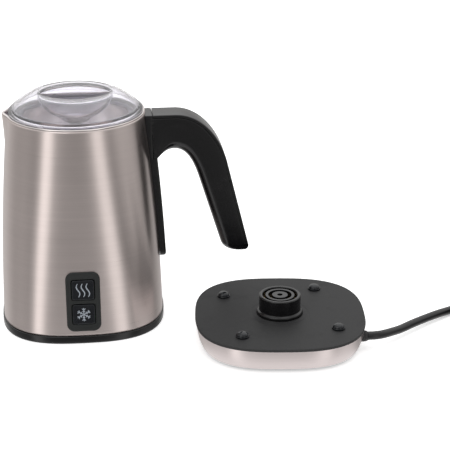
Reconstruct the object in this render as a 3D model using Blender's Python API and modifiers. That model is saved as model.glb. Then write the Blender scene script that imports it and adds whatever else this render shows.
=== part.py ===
"""Electric milk frother: a steel jug with a clear lid, standing beside its corded power base.

Sizes below are in millimetres and are turned into metres when a mesh is made. +Z is up, the
spout points to -X, the handle to +X and the buttons face -Y. The origin is on the floor under
the middle of the object's box, without its cord.
"""
import bpy
import bmesh
import numpy as np
from math import atan2, ceil, cos, hypot, pi, radians, sin
from mathutils import Matrix, Vector

MM = 0.001
MERGE = 0.0001

# ---- clearances and sheet thicknesses -------------------------------------------------------
GAP = 0.3                # between pieces that touch on the real object
STEEL = 0.8              # wall of the steel shell, the pot and the base skirt
SIDES = 48               # points round the shell, the pot and the base

# ---- jug ------------------------------------------------------------------------------------
RIM_Z = 154.2            # top of the pot's rolled lip
LIP = 0.9                # thickness of the rolled lip
SHELL_TOP_HALF = 48.5    # half-width of the shell at its round rim
SHELL_MID_HALF = 55.1    # half-width halfway up
SHELL_FOOT_HALF = 58.3   # half-width of the square-round foot
SHELL_SHARES = (0.0324, 0.5253, 0.9987)  # heights of those, foot first, as shares of RIM_Z
FOOT_POWER = 2.77        # superellipse power of the foot, 2 is round
FOOT_RING_HALF = 59.0
FOOT_RING_BAND = 4.3     # width of the foot ring's flat underside
FOOT_RING_H = 5.6
COVER_Z = 3.5            # underside of the jug's bottom cover
COVER_T = 2.5
SPOUT_REACH = 3.8        # how far the beak stands out of the round rim
SPOUT_HALF_ANGLE = 12.9  # degrees from the tip to where the beak leaves the rim
SPOUT_DROP = 23.0        # height of the beak
POT_R = 44.8             # outer radius of the pot's round wall
POT_CORNER = 8.0
POT_FLOOR_Z = 50.0       # underside of the pot
POT_NECK = 22.0          # height over which the pot widens to meet the shell

# ---- lid ------------------------------------------------------------------------------------
LID_R = 47.3
LID_WALL = 2.0
LID_RISE = 13.8          # dome above the rim
LID_CROWN_R = 26.5       # flat crown round the finger bowl
LID_EDGE_RISE = 1.4      # dome's edge above the rim
LID_SKIRT_DROP = 7.7     # skirt below the rim
LID_SKIRT_T = 1.8
BOWL_HALF = (24.6, 16.5) # half-length and half-width of the eye-shaped finger bowl
BOWL_POWER = 1.6         # superellipse power of the eye, 1 is a diamond and 2 an ellipse
BOWL_DEPTH = 17.2
BOWL_EDGE_DROP = 1.0     # bowl's edge below the crown
BAR_T = 3.2              # pinch bar across the bowl
BAR_DROP = 1.4           # its top below the crown
GASKET_H = 2.4

# ---- handle ---------------------------------------------------------------------------------
HANDLE_WIDTH = 20.6
HANDLE_TOP_Z = RIM_Z - 3.1
HANDLE_SEAM_X = 53.6     # seam between the bracket and the grip, from the jug's axis
HANDLE_KNEE_X = 70.0     # where the top starts to curve down
HANDLE_ELBOW = (106.6, RIM_Z - 39.7)
HANDLE_END = (121.9, 51.6)
CAVE_TOP_Z = RIM_Z - 29.7 # top of the finger gap
CAVE_ELBOW = (86.8, RIM_Z - 52.6)
CAVE_END = (102.3, 51.5)
HANDLE_TIP_Z = 45.0
CAP_T = 2.0
STRIP_FOOT_Z = 43.8
STRIP_STAND = 5.0        # how far the strip stands off the shell
FILLET_H = 5.5           # web under the grip's root
WEB_CURVE = ((2.1, 0.52), (4.6, 0.2), (8.2, 0.03))  # web's run, and its depth as a share
SCREW_FOOT_Z = 62.0      # lower handle screw

# ---- buttons --------------------------------------------------------------------------------
PANEL_W, PANEL_H = 24.0, 44.4
PANEL_FOOT_Z = 9.5
PANEL_CORNER = 5.5
PANEL_PROUD = 1.0
PANEL_LIP = 2.0          # flange behind the shell, past the panel's edge
FLANGE_T = 1.3
BUTTON_W, BUTTON_H = 15.8, 14.7
BUTTON_PITCH = 18.3
BUTTON_PROUD = 0.4
BUTTON_TRAVEL = 0.8
BUTTON_PLAY = 0.35

# ---- drive, heater and boards inside the jug ------------------------------------------------
SOCKET_PLAY = 0.7        # between the post and the connector cup in the jug's foot
SOCKET_WALL = 2.4
SOCKET_DEPTH = 15.5
CONTACT_DROP = 8.0
COLUMN_AT = 36.0         # the bracket's four columns stand on a square
COLUMN_R = 4.2
BRACKET_Z, BRACKET_T = 39.5, 2.5
MOTOR_R, MOTOR_H = 12.0, 15.2
SHAFT_R = 1.0
DISC_R, DISC_T = 13.0, 2.2
MAGNET_T = 2.9
HEATER_IN, HEATER_OUT, HEATER_T = 20.0, 37.0, 5.0
BOARD_T = 1.6
SPINDLE_R, SPINDLE_H = 1.5, 13.0
WHISK_R = 11.5
WHISK_COIL_R, WHISK_WIRE_R = 14.2, 2.2

# ---- power base -----------------------------------------------------------------------------
BASE_FROM_JUG = (138.1, -62.0)
BASE_TURN = -5.4         # degrees, outline of the base
BASE_HALF = 60.0
BASE_POWER = 2.77
BASE_H = 18.9            # top of the plate
PLATE_T = 1.8
PLATE_POCKET = 1.0       # depth of the pockets for the post's collar and the four pads
SKIRT_SHOULDER_HALF = BASE_HALF - 0.7
SKIRT_FOOT_HALF = BASE_HALF - 4.3
SKIRT_FOOT_Z = 2.4
POST_R = 14.7
POST_H = 14.0            # above the plate
STEM_R = POST_R - 1.5    # post's stem, through the plate
COLLAR_R, COLLAR_H = POST_R + 1.5, 2.2
GROOVES = ((12.2, 10.3), (8.2, 5.6))
GROOVE_DEPTH = 6.0
POST_HOLE_R = 1.8
PAD_AT = 0.565 * BASE_HALF  # the four pads stand on a square
PAD_TURN = 4.7           # degrees
PAD_R, PAD_H = 4.6, 3.8
PAD_SIDE = 1.6           # upright part of a pad's side, above the plate
FOOT_AT, FOOT_R, FOOT_H = BASE_HALF - 25.0, 6.0, 1.5
TRAY_T = 2.0

# ---- cord -----------------------------------------------------------------------------------
CORD_R = 3.0
GLAND_LENGTH = 22.0
GLAND_OUT = 1.6          # how much of the gland shows outside the skirt
# Route of the lead from its gland to the coil, chosen by hand. X is from the base's right side
# and Y from its middle.
CORD_ROUTE = ((-1.4, -25.4, 9.4), (3.5, -25.2, 9.3), (9.5, -23.0, 8.7), (17.0, -18.0, 7.7),
              (25.6, -11.0, 6.3), (36.2, -2.6, 5.9), (47.6, 6.3, 5.1),
              (59.0, 14.4, 4.4), (67.0, 20.0, 3.5), (73.2, 24.2, 3.05))
COIL_AT = (113.2, 7.2)
COIL_IN_R, COIL_OUT_R, COIL_H = 23.8, 40.0, 12.4
CORD_HEADING = 34.8      # degrees, heading of the lead into the coil and of the plug out of it
PLUG_LINE = 34.6         # distance from the coil's middle to the plug's line
PLUG_FROM_TANGENT = 27.0
PLUG_RELIEF, PLUG_LENGTH = 14.0, 34.0
PLUG_W, PLUG_T = 34.0, 13.4
PIN_R, PIN_LENGTH, PIN_PITCH = 2.0, 19.0, 19.0
PLUG_Z = 7.0


# ---- outlines and heights that follow from the sizes ----------------------------------------
def superellipse_radius(theta, half, power):
    """Distance from the middle to the outline |x|^power + |y|^power = half^power."""
    return half / (np.abs(np.cos(theta)) ** power + np.abs(np.sin(theta)) ** power) ** (1 / power)


def superellipse_reach(half, power, turn):
    """Half-extent along X of a superellipse turned by an angle, from its dual power."""
    dual = power / (power - 1)
    return half * (abs(cos(turn)) ** dual + abs(sin(turn)) ** dual) ** (1 / dual)


BASE_REACH = superellipse_reach(BASE_HALF, BASE_POWER, radians(BASE_TURN))
JUG = Vector((-(BASE_FROM_JUG[0] + BASE_REACH - FOOT_RING_HALF) / 2,
              -(BASE_FROM_JUG[1] - BASE_REACH + FOOT_RING_HALF) / 2, 0))
BASE = JUG + Vector((*BASE_FROM_JUG, 0))
CORD_DATUM = BASE + Vector((BASE_HALF, 0, 0))
SOCKET_R = POST_R + SOCKET_PLAY + SOCKET_WALL
SHELL_Z0 = FOOT_RING_H + GAP
SHELL_Z1 = RIM_Z - LIP - GAP
PLATE_Z = BASE_H - PLATE_T
POCKET_SEAT_Z = BASE_H - PLATE_POCKET + GAP
TRAY_Z = FOOT_H + GAP
TRAY_TOP = TRAY_Z + TRAY_T
THETA = np.linspace(0, 2 * pi, SIDES, endpoint=False)
# The plane through the jug's axis and the handle, drawn as (x from the axis, height).
UPRIGHT = Matrix(((1, 0, 0, JUG.x * MM), (0, 0, -1, JUG.y * MM), (0, 1, 0, 0), (0, 0, 0, 1)))


def shell_half(z):
    """Half-width of the shell at a height: the parabola through foot, middle and rim."""
    z0, z1, z2 = (share * RIM_Z for share in SHELL_SHARES)
    return (SHELL_FOOT_HALF * (z - z1) * (z - z2) / ((z0 - z1) * (z0 - z2))
            + SHELL_MID_HALF * (z - z0) * (z - z2) / ((z1 - z0) * (z1 - z2))
            + SHELL_TOP_HALF * (z - z0) * (z - z1) / ((z2 - z0) * (z2 - z1)))


def shell_power(z):
    """Superellipse power of the shell at a height: squarer at the foot, 2 at the round rim."""
    return 2 + (FOOT_POWER - 2) * max(0.0, 1 - z / RIM_Z) ** 1.3


def shell_radius(theta, z):
    """Outside of the shell: a superellipse that turns round towards the rim, with the beak.

    The beak's two sides are straight lines in plan, from the tip to the rim circle. The tip
    moves out over the beak's height, and the outline is whichever is further out.
    """
    body = superellipse_radius(theta, shell_half(z), shell_power(z))
    rise = (z - (RIM_Z - SPOUT_DROP)) / SPOUT_DROP
    if rise <= 0:
        return body
    root = shell_half(z)
    tip = root + SPOUT_REACH * min(rise, 1.0) ** 1.2
    side = radians(SPOUT_HALF_ANGLE)
    run, rise_y = tip - root * cos(side), root * sin(side)
    lean = atan2(run, rise_y)
    away = np.abs((theta - pi + pi) % (2 * pi) - pi)
    line = tip * cos(lean) / np.maximum(np.cos(away - lean), 0.2)
    return np.where(away < side, np.maximum(body, line), body)


def ring(radius, z, centre=JUG):
    """One closed ring of points, at a radius for each angle and one height."""
    radius = np.broadcast_to(radius, THETA.shape)
    return np.stack([centre.x + radius * np.cos(THETA), centre.y + radius * np.sin(THETA),
                     np.full_like(THETA, z)], axis=1)


def turned_ring(half, power, z, turn, centre=BASE):
    """A superellipse ring turned about the vertical."""
    return ring(superellipse_radius(THETA - radians(turn), half, power), z, centre)


def bezier(p0, p1, p2, p3, count):
    """Points along a cubic Bezier curve, both ends included."""
    t = np.linspace(0, 1, count)[:, None]
    p0, p1, p2, p3 = (np.array(p, float) for p in (p0, p1, p2, p3))
    return (1 - t) ** 3 * p0 + 3 * (1 - t) ** 2 * t * p1 + 3 * (1 - t) * t ** 2 * p2 + t ** 3 * p3


# ---- scene, collections and materials -------------------------------------------------------
for old in list(bpy.data.objects):
    bpy.data.objects.remove(old, do_unlink=True)
PARTS = bpy.data.collections.new("milk_frother")
CUTTERS = bpy.data.collections.new("cutters")
for group in (PARTS, CUTTERS):
    bpy.context.scene.collection.children.link(group)


def material(name, colour, roughness, metallic=0.0, alpha=1.0):
    """A Principled material."""
    made = bpy.data.materials.new(name)
    made.use_nodes = True
    shader = made.node_tree.nodes["Principled BSDF"]
    shader.inputs["Base Color"].default_value = (*colour, 1)
    shader.inputs["Roughness"].default_value = roughness
    shader.inputs["Metallic"].default_value = metallic
    shader.inputs["Alpha"].default_value = alpha
    return made


BRUSHED = material("brushed_steel", (0.62, 0.57, 0.55), 0.3, 1.0)
POT_STEEL = material("pot_steel", (0.66, 0.63, 0.61), 0.25, 1.0)
BLACK = material("black_plastic", (0.02, 0.02, 0.021), 0.4)
MATT_BLACK = material("matt_black_plastic", (0.055, 0.055, 0.055), 0.6)
GLOSS_BLACK = material("gloss_black_plastic", (0.015, 0.016, 0.017), 0.15)
RUBBER = material("black_rubber", (0.02, 0.02, 0.02), 0.8)
CLEAR = material("clear_plastic", (0.88, 0.87, 0.92), 0.08, 0.0, 0.35)
SILICONE = material("clear_silicone", (0.8, 0.8, 0.82), 0.5, 0.0, 0.6)
BRASS = material("brass", (0.78, 0.6, 0.3), 0.3, 1.0)
ZINC = material("zinc_screw", (0.6, 0.6, 0.6), 0.35, 1.0)
ALUMINIUM = material("aluminium", (0.75, 0.75, 0.76), 0.4, 1.0)
BOARD = material("circuit_board", (0.05, 0.22, 0.1), 0.5)
WHITE = material("white_plastic", (0.8, 0.8, 0.78), 0.5)
FERRITE = material("ferrite_magnet", (0.08, 0.08, 0.085), 0.5, 0.5)


# ---- builders -------------------------------------------------------------------------------
def place(name, mesh, finish, group=PARTS, smooth=30):
    """Put a mesh in the scene as a part, or as a hidden cutter."""
    if finish:
        mesh.materials.append(finish)
    mesh.shade_smooth()
    mesh.set_sharp_from_angle(angle=radians(smooth))
    made = bpy.data.objects.new(name, mesh)
    group.objects.link(made)
    if group is CUTTERS:
        made.hide_render = True
        made.display_type = "WIRE"
    return made


def from_bmesh(name, bm, finish, group=PARTS):
    """A part from a bmesh, whose faces are turned outwards first."""
    bmesh.ops.recalc_face_normals(bm, faces=bm.faces)
    mesh = bpy.data.meshes.new(name)
    bm.to_mesh(mesh)
    bm.free()
    return place(name, mesh, finish, group)


def loft(name, rings, finish, loop=False, group=PARTS):
    """A solid through rings of equal count: joined end to end, or capped at both ends."""
    bm = bmesh.new()
    rows = [[bm.verts.new(Vector(p) * MM) for p in points] for points in rings]
    pairs = list(zip(rows, rows[1:] + rows[:1])) if loop else list(zip(rows, rows[1:]))
    for low, high in pairs:
        for i, corner in enumerate(low):
            j = (i + 1) % len(low)
            bm.faces.new((corner, low[j], high[j], high[i]))
    if not loop:
        bm.faces.new(rows[0])
        bm.faces.new(rows[-1])
    return from_bmesh(name, bm, finish, group)


def cylinder(name, radius, z0, z1, at, finish, group=PARTS, sides=24, tip=None):
    """An upright cylinder, or a cone with a tip radius, standing at a point."""
    bm = bmesh.new()
    bmesh.ops.create_cone(bm, cap_ends=True, segments=sides, radius1=radius * MM,
                          radius2=(radius if tip is None else tip) * MM, depth=(z1 - z0) * MM)
    bmesh.ops.translate(bm, verts=bm.verts, vec=Vector((at[0], at[1], (z0 + z1) / 2)) * MM)
    return from_bmesh(name, bm, finish, group)


def block(name, size, middle, finish, group=PARTS, frame=None):
    """A box of a size about a point, in the part's frame or in a tilted one."""
    bm = bmesh.new()
    bmesh.ops.create_cube(bm, size=1)
    bmesh.ops.scale(bm, verts=bm.verts, vec=Vector(size) * MM)
    bmesh.ops.translate(bm, verts=bm.verts, vec=Vector(middle) * MM)
    made = from_bmesh(name, bm, finish, group)
    if frame:
        made.matrix_world = frame
    return made


def turned(name, profile, finish, at=JUG, steps=48, closed=False, group=PARTS):
    """A turned solid: a profile of (radius, height) with a Screw modifier."""
    mesh = bpy.data.meshes.new(name)
    points = [(r * MM, 0, z * MM) for r, z in profile]
    edges = [(i, i + 1) for i in range(len(points) - 1)]
    if closed:
        edges.append((len(points) - 1, 0))
    mesh.from_pydata(points, edges, [])
    made = place(name, mesh, finish, group)
    made.location = Vector((at[0], at[1], 0)) * MM
    screw = made.modifiers.new("turn", "SCREW")
    screw.steps = screw.render_steps = steps
    screw.use_merge_vertices = True
    screw.merge_threshold = MERGE / 10
    screw.use_smooth_shade = True
    return made


def round_rect(width, height, corner, middle=(0, 0), per_corner=5):
    """Outline of a rectangle with round corners, anticlockwise."""
    points = []
    for quarter in range(4):
        sx, sy = ((1, 1), (-1, 1), (-1, -1), (1, -1))[quarter]
        cx = middle[0] + sx * (width / 2 - corner)
        cy = middle[1] + sy * (height / 2 - corner)
        for k in range(per_corner):
            a = quarter * pi / 2 + k * pi / 2 / (per_corner - 1)
            points.append((cx + corner * cos(a), cy + corner * sin(a)))
    return points


def plate(name, outlines, low, high, finish, group=PARTS, frame=None):
    """A flat plate: closed 2D outlines, filled, with half the thickness extruded each way.

    A further outline inside the first is a hole. It is made a mesh, so that it can be cut.
    """
    curve = bpy.data.curves.new(name, "CURVE")
    curve.dimensions = "2D"
    curve.fill_mode = "BOTH"
    curve.extrude = (high - low) / 2 * MM
    for outline in outlines:
        spline = curve.splines.new("POLY")
        spline.points.add(len(outline) - 1)
        for point, (x, y) in zip(spline.points, outline):
            point.co = (x * MM, y * MM, 0, 1)
        spline.use_cyclic_u = True
    made = bpy.data.objects.new(name + "_outline", curve)
    group.objects.link(made)
    lift = Matrix.Translation((0, 0, (low + high) / 2 * MM))
    made.matrix_world = (frame or Matrix.Identity(4)) @ lift
    return solid_from_curve(name, made, finish, group)


def solid_from_curve(name, source, finish, group=PARTS):
    """The mesh of a curve object, its caps welded, in place of the curve."""
    bpy.context.view_layer.update()
    evaluated = source.evaluated_get(bpy.context.evaluated_depsgraph_get())
    mesh = bpy.data.meshes.new_from_object(evaluated)
    mesh.name = name
    bm = bmesh.new()
    bm.from_mesh(mesh)
    bmesh.ops.remove_doubles(bm, verts=bm.verts, dist=MERGE / 10)
    bmesh.ops.recalc_face_normals(bm, faces=bm.faces)
    bm.to_mesh(mesh)
    bm.free()
    mesh.materials.clear()
    made = place(name, mesh, finish, group)
    made.matrix_world = source.matrix_world
    bpy.data.objects.remove(source, do_unlink=True)
    return made


def tube(name, points, radius, finish, rounding=2):
    """A wire or cord: a POLY curve with a round bevel and filled caps."""
    curve = bpy.data.curves.new(name, "CURVE")
    curve.dimensions = "3D"
    curve.bevel_depth = radius * MM
    curve.bevel_resolution = rounding
    curve.use_fill_caps = True
    spline = curve.splines.new("POLY")
    spline.points.add(len(points) - 1)
    for point, at in zip(spline.points, points):
        point.co = (*(Vector(at) * MM), 1)
    made = bpy.data.objects.new(name, curve)
    PARTS.objects.link(made)
    curve.materials.append(finish)
    return made


def boolean(target, tool, operation="DIFFERENCE"):
    """Cut a part with a hidden tool, or join the tool to it."""
    modifier = target.modifiers.new(tool.name, "BOOLEAN")
    modifier.operation = operation
    modifier.object = tool


def bevel(target, width, segments=2, angle=40):
    """Round the edges that are sharper than an angle."""
    modifier = target.modifiers.new("edges", "BEVEL")
    modifier.width = width * MM
    modifier.segments = segments
    modifier.limit_method = "ANGLE"
    modifier.angle_limit = radians(angle)


def square(half, turn=0.0, centre=JUG):
    """Four corners of a square about a centre, turned about the vertical."""
    start = pi / 4 + radians(turn)
    reach = half * 2 ** 0.5
    return [(centre[0] + reach * cos(start + k * pi / 2), centre[1] + reach * sin(start + k * pi / 2))
            for k in range(4)]


def screw(name, radius, head_r, head_z, tip_z, at, head_t=1.4, finish=ZINC):
    """An upright screw: a turned shank and head, on either side of the surface it clamps."""
    up = 1 if tip_z > head_z else -1
    far = head_z - up * head_t
    profile = [(0, tip_z), (radius, tip_z), (radius, head_z), (head_r, head_z), (head_r, far), (0, far)]
    if up < 0:
        profile.reverse()
    return turned(name, profile, finish, at, steps=10)


# ---- jug: shell, pot and foot ---------------------------------------------------------------
def outer_shell():
    """Steel shell, lofted from the square-round foot to the round rim with its beak."""
    beak_foot = RIM_Z - SPOUT_DROP
    low = list(np.linspace(SHELL_Z0, beak_foot - 3, 5))
    high = list(np.linspace(beak_foot + 2, SHELL_Z1, 4))
    outside = [ring(shell_radius(THETA, z), z) for z in low + high]
    inside = [ring(shell_radius(THETA, z) - STEEL, z) for z in (low[::2] + high)[::-1] + [SHELL_Z0]]
    return loft("outer_shell", outside + inside, BRUSHED, loop=True)


def pot_radius(z):
    """Outside of the pot: round, then widening over the neck to sit inside the shell."""
    share = min(max((z - (RIM_Z - POT_NECK - 4)) / POT_NECK, 0.0), 1.0)
    share = share * share * (3 - 2 * share)
    return POT_R + (shell_radius(THETA, z) - STEEL - GAP * 1.3 - POT_R) * share


def inner_pot():
    """Drawn steel pot: round floor and wall, a neck that follows the beak, and a rolled lip."""
    corner = [(POT_R - POT_CORNER + POT_CORNER * sin(a), POT_FLOOR_Z + POT_CORNER * (1 - cos(a)))
              for a in np.linspace(0, pi / 2, 4)]
    neck_z = list(np.linspace(RIM_Z - POT_NECK - 4, RIM_Z - 4, 4))
    lip_z = RIM_Z - LIP
    outside = [ring(12.0, POT_FLOOR_Z)] + [ring(r, z) for r, z in corner]
    outside += [ring(pot_radius(z), z) for z in neck_z + [lip_z]]
    rim = [ring(shell_radius(THETA, lip_z), lip_z), ring(shell_radius(THETA, lip_z), RIM_Z),
           ring(pot_radius(RIM_Z) - STEEL, RIM_Z)]
    inside = [ring(pot_radius(z) - STEEL, z) for z in neck_z[::-1]]
    inside += [ring(r - STEEL * (r - 30) / (POT_R - 30), z + STEEL) for r, z in corner[::-1]]
    inside += [ring(12.0, POT_FLOOR_Z + STEEL)]
    return loft("inner_pot", outside + rim + inside, POT_STEEL)


def foot_ring():
    """Black foot band under the shell."""
    outer = [tuple(p[:2]) for p in ring(superellipse_radius(THETA, FOOT_RING_HALF, FOOT_POWER), 0)]
    half = FOOT_RING_HALF - FOOT_RING_BAND
    inner = [tuple(p[:2]) for p in ring(superellipse_radius(THETA, half, FOOT_POWER), 0)]
    made = plate("foot_ring", [outer, inner], 0, FOOT_RING_H, BLACK)
    bevel(made, 0.7, segments=1, angle=50)
    return made


def bottom_cover():
    """Plate inside the foot ring, with holes for the connector cup and four screws."""
    half = FOOT_RING_HALF - FOOT_RING_BAND - GAP * 1.3
    outer = [tuple(p[:2]) for p in ring(superellipse_radius(THETA, half, FOOT_POWER), 0)]
    made = plate("bottom_cover", [outer], COVER_Z, COVER_Z + COVER_T, MATT_BLACK)
    mouth = cylinder("cover_mouth", SOCKET_R + GAP, 0, 12, JUG, None, CUTTERS, sides=48)
    boolean(made, mouth)
    for k, at in enumerate(square(COLUMN_AT)):
        boolean(made, cylinder(f"cover_hole_{k + 1}", 1.5, 0, 12, at, None, CUTTERS, sides=12))
    return made


def bottom_screws():
    """Four screws up through the cover into the bracket's columns."""
    for k, at in enumerate(square(COLUMN_AT)):
        screw(f"bottom_screw_{k + 1}", 1.1, 3.0, COVER_Z - GAP, 15.0, at)


# ---- jug: connector, boards, motor and heater -----------------------------------------------
SOCKET_CEILING = COVER_Z + SOCKET_DEPTH
SOCKET_TOP = SOCKET_CEILING + 2.2
CONTACT_Z = (SOCKET_CEILING - GAP - CONTACT_DROP, SOCKET_CEILING - GAP)
POWER_BOARD_Z = SOCKET_TOP + 0.6
MOTOR_TOP = BRACKET_Z - GAP
SHAFT_HOLE = SHAFT_R + GAP
BRACKET_TOP = BRACKET_Z + BRACKET_T
DISC_Z = BRACKET_TOP + 1.8
MOTOR_SCREW_AT = 7.5


def coupler_socket():
    """Connector cup in the jug's foot, open downwards, flanged over the cover."""
    flange_z = COVER_Z + COVER_T + GAP
    profile = [(0, SOCKET_TOP), (SOCKET_R, SOCKET_TOP), (SOCKET_R, flange_z + 1.7),
               (SOCKET_R + 4.2, flange_z + 1.7), (SOCKET_R + 4.2, flange_z), (SOCKET_R, flange_z),
               (SOCKET_R, COVER_Z), (SOCKET_R - SOCKET_WALL, COVER_Z),
               (SOCKET_R - SOCKET_WALL, SOCKET_CEILING), (0, SOCKET_CEILING)]
    turned("coupler_socket", profile, BLACK, steps=28)
    low, high = CONTACT_Z
    cylinder("socket_pin", POST_HOLE_R - 0.5, low, high, JUG, BRASS, sides=14)
    for label, (outer, inner) in zip(("outer", "inner"), GROOVES):
        loop = [(outer - 0.4, high), (outer - 0.4, low), (inner + 0.4, low), (inner + 0.4, high)]
        turned(f"socket_ring_{label}", loop, BRASS, steps=24, closed=True)


def boards():
    """Power board over the connector cup, with its relay."""
    z = POWER_BOARD_Z
    block("power_board", (60, 42, BOARD_T), (JUG.x, JUG.y, z + BOARD_T / 2), BOARD)
    block("relay", (15, 10, 10), (JUG.x - 21, JUG.y + 9, z + BOARD_T + GAP + 5), WHITE)


def motor_bracket():
    """Plate under the pot that carries the motor, on four columns down to the cover."""
    half = COLUMN_AT + 8
    outline = [(JUG.x + half * x, JUG.y + half * y)
               for x, y in ((r * cos(a), r * sin(a)) for a, r in
                            zip(THETA[::2], superellipse_radius(THETA[::2], 1.0, 4.0)))]
    made = plate("motor_bracket", [outline], BRACKET_Z, BRACKET_TOP, BLACK)
    for k, at in enumerate(square(COLUMN_AT)):
        foot = COVER_Z + COVER_T + GAP
        boolean(made, cylinder(f"column_{k + 1}", COLUMN_R, foot, BRACKET_TOP - 0.5, at, None,
                               CUTTERS, sides=16), "UNION")
        boolean(made, cylinder(f"column_bore_{k + 1}", 1.5, 0, 18, at, None, CUTTERS, sides=12))
    boolean(made, cylinder("shaft_way", 4.0, 30, 50, JUG, None, CUTTERS, sides=20))
    for side in (-1, 1):
        at = (JUG.x + side * MOTOR_SCREW_AT, JUG.y)
        boolean(made, cylinder(f"bracket_hole{side}", 1.3, 30, 50, at, None, CUTTERS, sides=12))
    return made


def motor():
    """Motor can, its two screws, and the shaft with the magnetic drive disc."""
    profile = [(MOTOR_R, MOTOR_TOP), (MOTOR_R, MOTOR_TOP - MOTOR_H), (SHAFT_HOLE, MOTOR_TOP - MOTOR_H),
               (SHAFT_HOLE, MOTOR_TOP)]
    can = turned("motor_can", profile, ALUMINIUM, steps=24, closed=True)
    for side, label in ((-1, 1), (1, 2)):
        at = (JUG.x + side * MOTOR_SCREW_AT, JUG.y)
        boolean(can, cylinder(f"motor_hole{side}", 1.2, MOTOR_TOP - 5, MOTOR_TOP + 3, at, None,
                              CUTTERS, sides=12))
        screw(f"motor_screw_{label}", 0.9, 1.8, BRACKET_TOP + GAP, MOTOR_TOP - 4, at, head_t=0.9)
    high, low = DISC_Z + DISC_T - 0.4, MOTOR_TOP - MOTOR_H + 0.6
    turned("motor_shaft", [(0, high), (SHAFT_R, high), (SHAFT_R, low), (0, low)], ZINC, steps=14)
    disc = [(DISC_R, DISC_Z + DISC_T), (DISC_R, DISC_Z), (SHAFT_HOLE, DISC_Z),
            (SHAFT_HOLE, DISC_Z + DISC_T)]
    turned("drive_disc", disc, BLACK, steps=24, closed=True)
    low = DISC_Z + DISC_T + GAP
    magnet = [(DISC_R - 1, low + MAGNET_T), (DISC_R - 1, low), (DISC_R - 7, low),
              (DISC_R - 7, low + MAGNET_T)]
    turned("drive_magnet", magnet, FERRITE, steps=24, closed=True)


def heater():
    """Heater ring pressed under the pot's floor, and the thermostat on it."""
    top = POT_FLOOR_Z - GAP
    loop = [(HEATER_OUT, top), (HEATER_OUT, top - HEATER_T), (HEATER_IN, top - HEATER_T), (HEATER_IN, top)]
    turned("heater_ring", loop, ALUMINIUM, steps=28, closed=True)
    high = top - HEATER_T - GAP
    cylinder("thermostat", 6.0, high - 1.9, high, (JUG.x, JUG.y + 28), BRASS, sides=20)


def whisk():
    """Spindle on the pot's floor, and the whisk that turns on it: a hub and its sprung ring."""
    floor = POT_FLOOR_Z + STEEL + GAP
    cylinder("pot_spindle", SPINDLE_R, floor, floor + SPINDLE_H, JUG, POT_STEEL, sides=16)
    low = floor + 0.6
    bore = SPINDLE_R + GAP
    hub = [(3.4, low + 11), (3.4, low + 4.2), (WHISK_R, low + 3.2), (WHISK_R, low), (bore, low),
           (bore, low + 11)]
    turned("whisk_hub", hub, BLACK, steps=28, closed=True)
    ring_z = low + WHISK_WIRE_R
    loop = [(WHISK_COIL_R + WHISK_WIRE_R * cos(a), ring_z + WHISK_WIRE_R * sin(a))
            for a in np.linspace(pi / 2, pi / 2 - 2 * pi, 8, endpoint=False)]
    turned("whisk_coil", loop, POT_STEEL, steps=28, closed=True)


# ---- jug: button panel ----------------------------------------------------------------------
PANEL_Z = PANEL_FOOT_Z + PANEL_H / 2
PANEL_TILT = atan2(shell_half(PANEL_FOOT_Z) - shell_half(PANEL_FOOT_Z + PANEL_H), PANEL_H)
PANEL_FRAME = Matrix((
    (1, 0, 0, JUG.x * MM),
    (0, sin(PANEL_TILT), -cos(PANEL_TILT), (JUG.y - shell_half(PANEL_Z)) * MM),
    (0, cos(PANEL_TILT), sin(PANEL_TILT), PANEL_Z * MM),
    (0, 0, 0, 1)))


def flange_sag():
    """How far the shell's face falls behind the panel's plane at the flange's corners."""
    x = PANEL_W / 2 + PANEL_LIP
    sags = []
    for v in (-1, 1):
        z = PANEL_Z + v * (PANEL_H / 2 + PANEL_LIP) * cos(PANEL_TILT)
        half, power = shell_half(z), shell_power(z)
        y = half * (1 - (x / half) ** power) ** (1 / power)
        sags.append(cos(PANEL_TILT) * (shell_half(PANEL_Z) - y) - sin(PANEL_TILT) * (z - PANEL_Z))
    return max(sags)


# Heights along the panel's outward normal, from the shell's face.
FLANGE_FRONT = -(flange_sag() + STEEL + 2 * GAP)
FLANGE_BACK = FLANGE_FRONT - FLANGE_T
BUTTON_BACK = FLANGE_BACK - 1.3
SWITCH_TOP = BUTTON_BACK - BUTTON_TRAVEL - 0.1
SWITCH_BACK = SWITCH_TOP - 4.5


def button_panel():
    """Panel through the shell: a proud face, a flange behind the wall and two apertures."""
    face = round_rect(PANEL_W, PANEL_H, PANEL_CORNER)
    made = plate("button_panel", [face], FLANGE_FRONT - 0.4, PANEL_PROUD, MATT_BLACK, frame=PANEL_FRAME)
    bevel(made, 0.7, segments=2, angle=60)
    lip = round_rect(PANEL_W + 2 * PANEL_LIP, PANEL_H + 2 * PANEL_LIP, PANEL_CORNER)
    flange = plate("panel_flange", [lip], FLANGE_BACK, FLANGE_FRONT, None, CUTTERS, PANEL_FRAME)
    boolean(made, flange, "UNION")
    for label, side in (("hot", 1), ("cold", -1)):
        window = round_rect(BUTTON_W + 2 * BUTTON_PLAY, BUTTON_H + 2 * BUTTON_PLAY, 1.8,
                            (0, side * BUTTON_PITCH / 2), 3)
        boolean(made, plate(f"window_{label}", [window], -8, 8, None, CUTTERS, PANEL_FRAME))
    return made


def panel_hole(shell):
    """The opening in the shell that the panel sits in."""
    hole = round_rect(PANEL_W + 2 * GAP, PANEL_H + 2 * GAP, PANEL_CORNER + GAP)
    boolean(shell, plate("panel_hole", [hole], -6, 6, None, CUTTERS, PANEL_FRAME))


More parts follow.
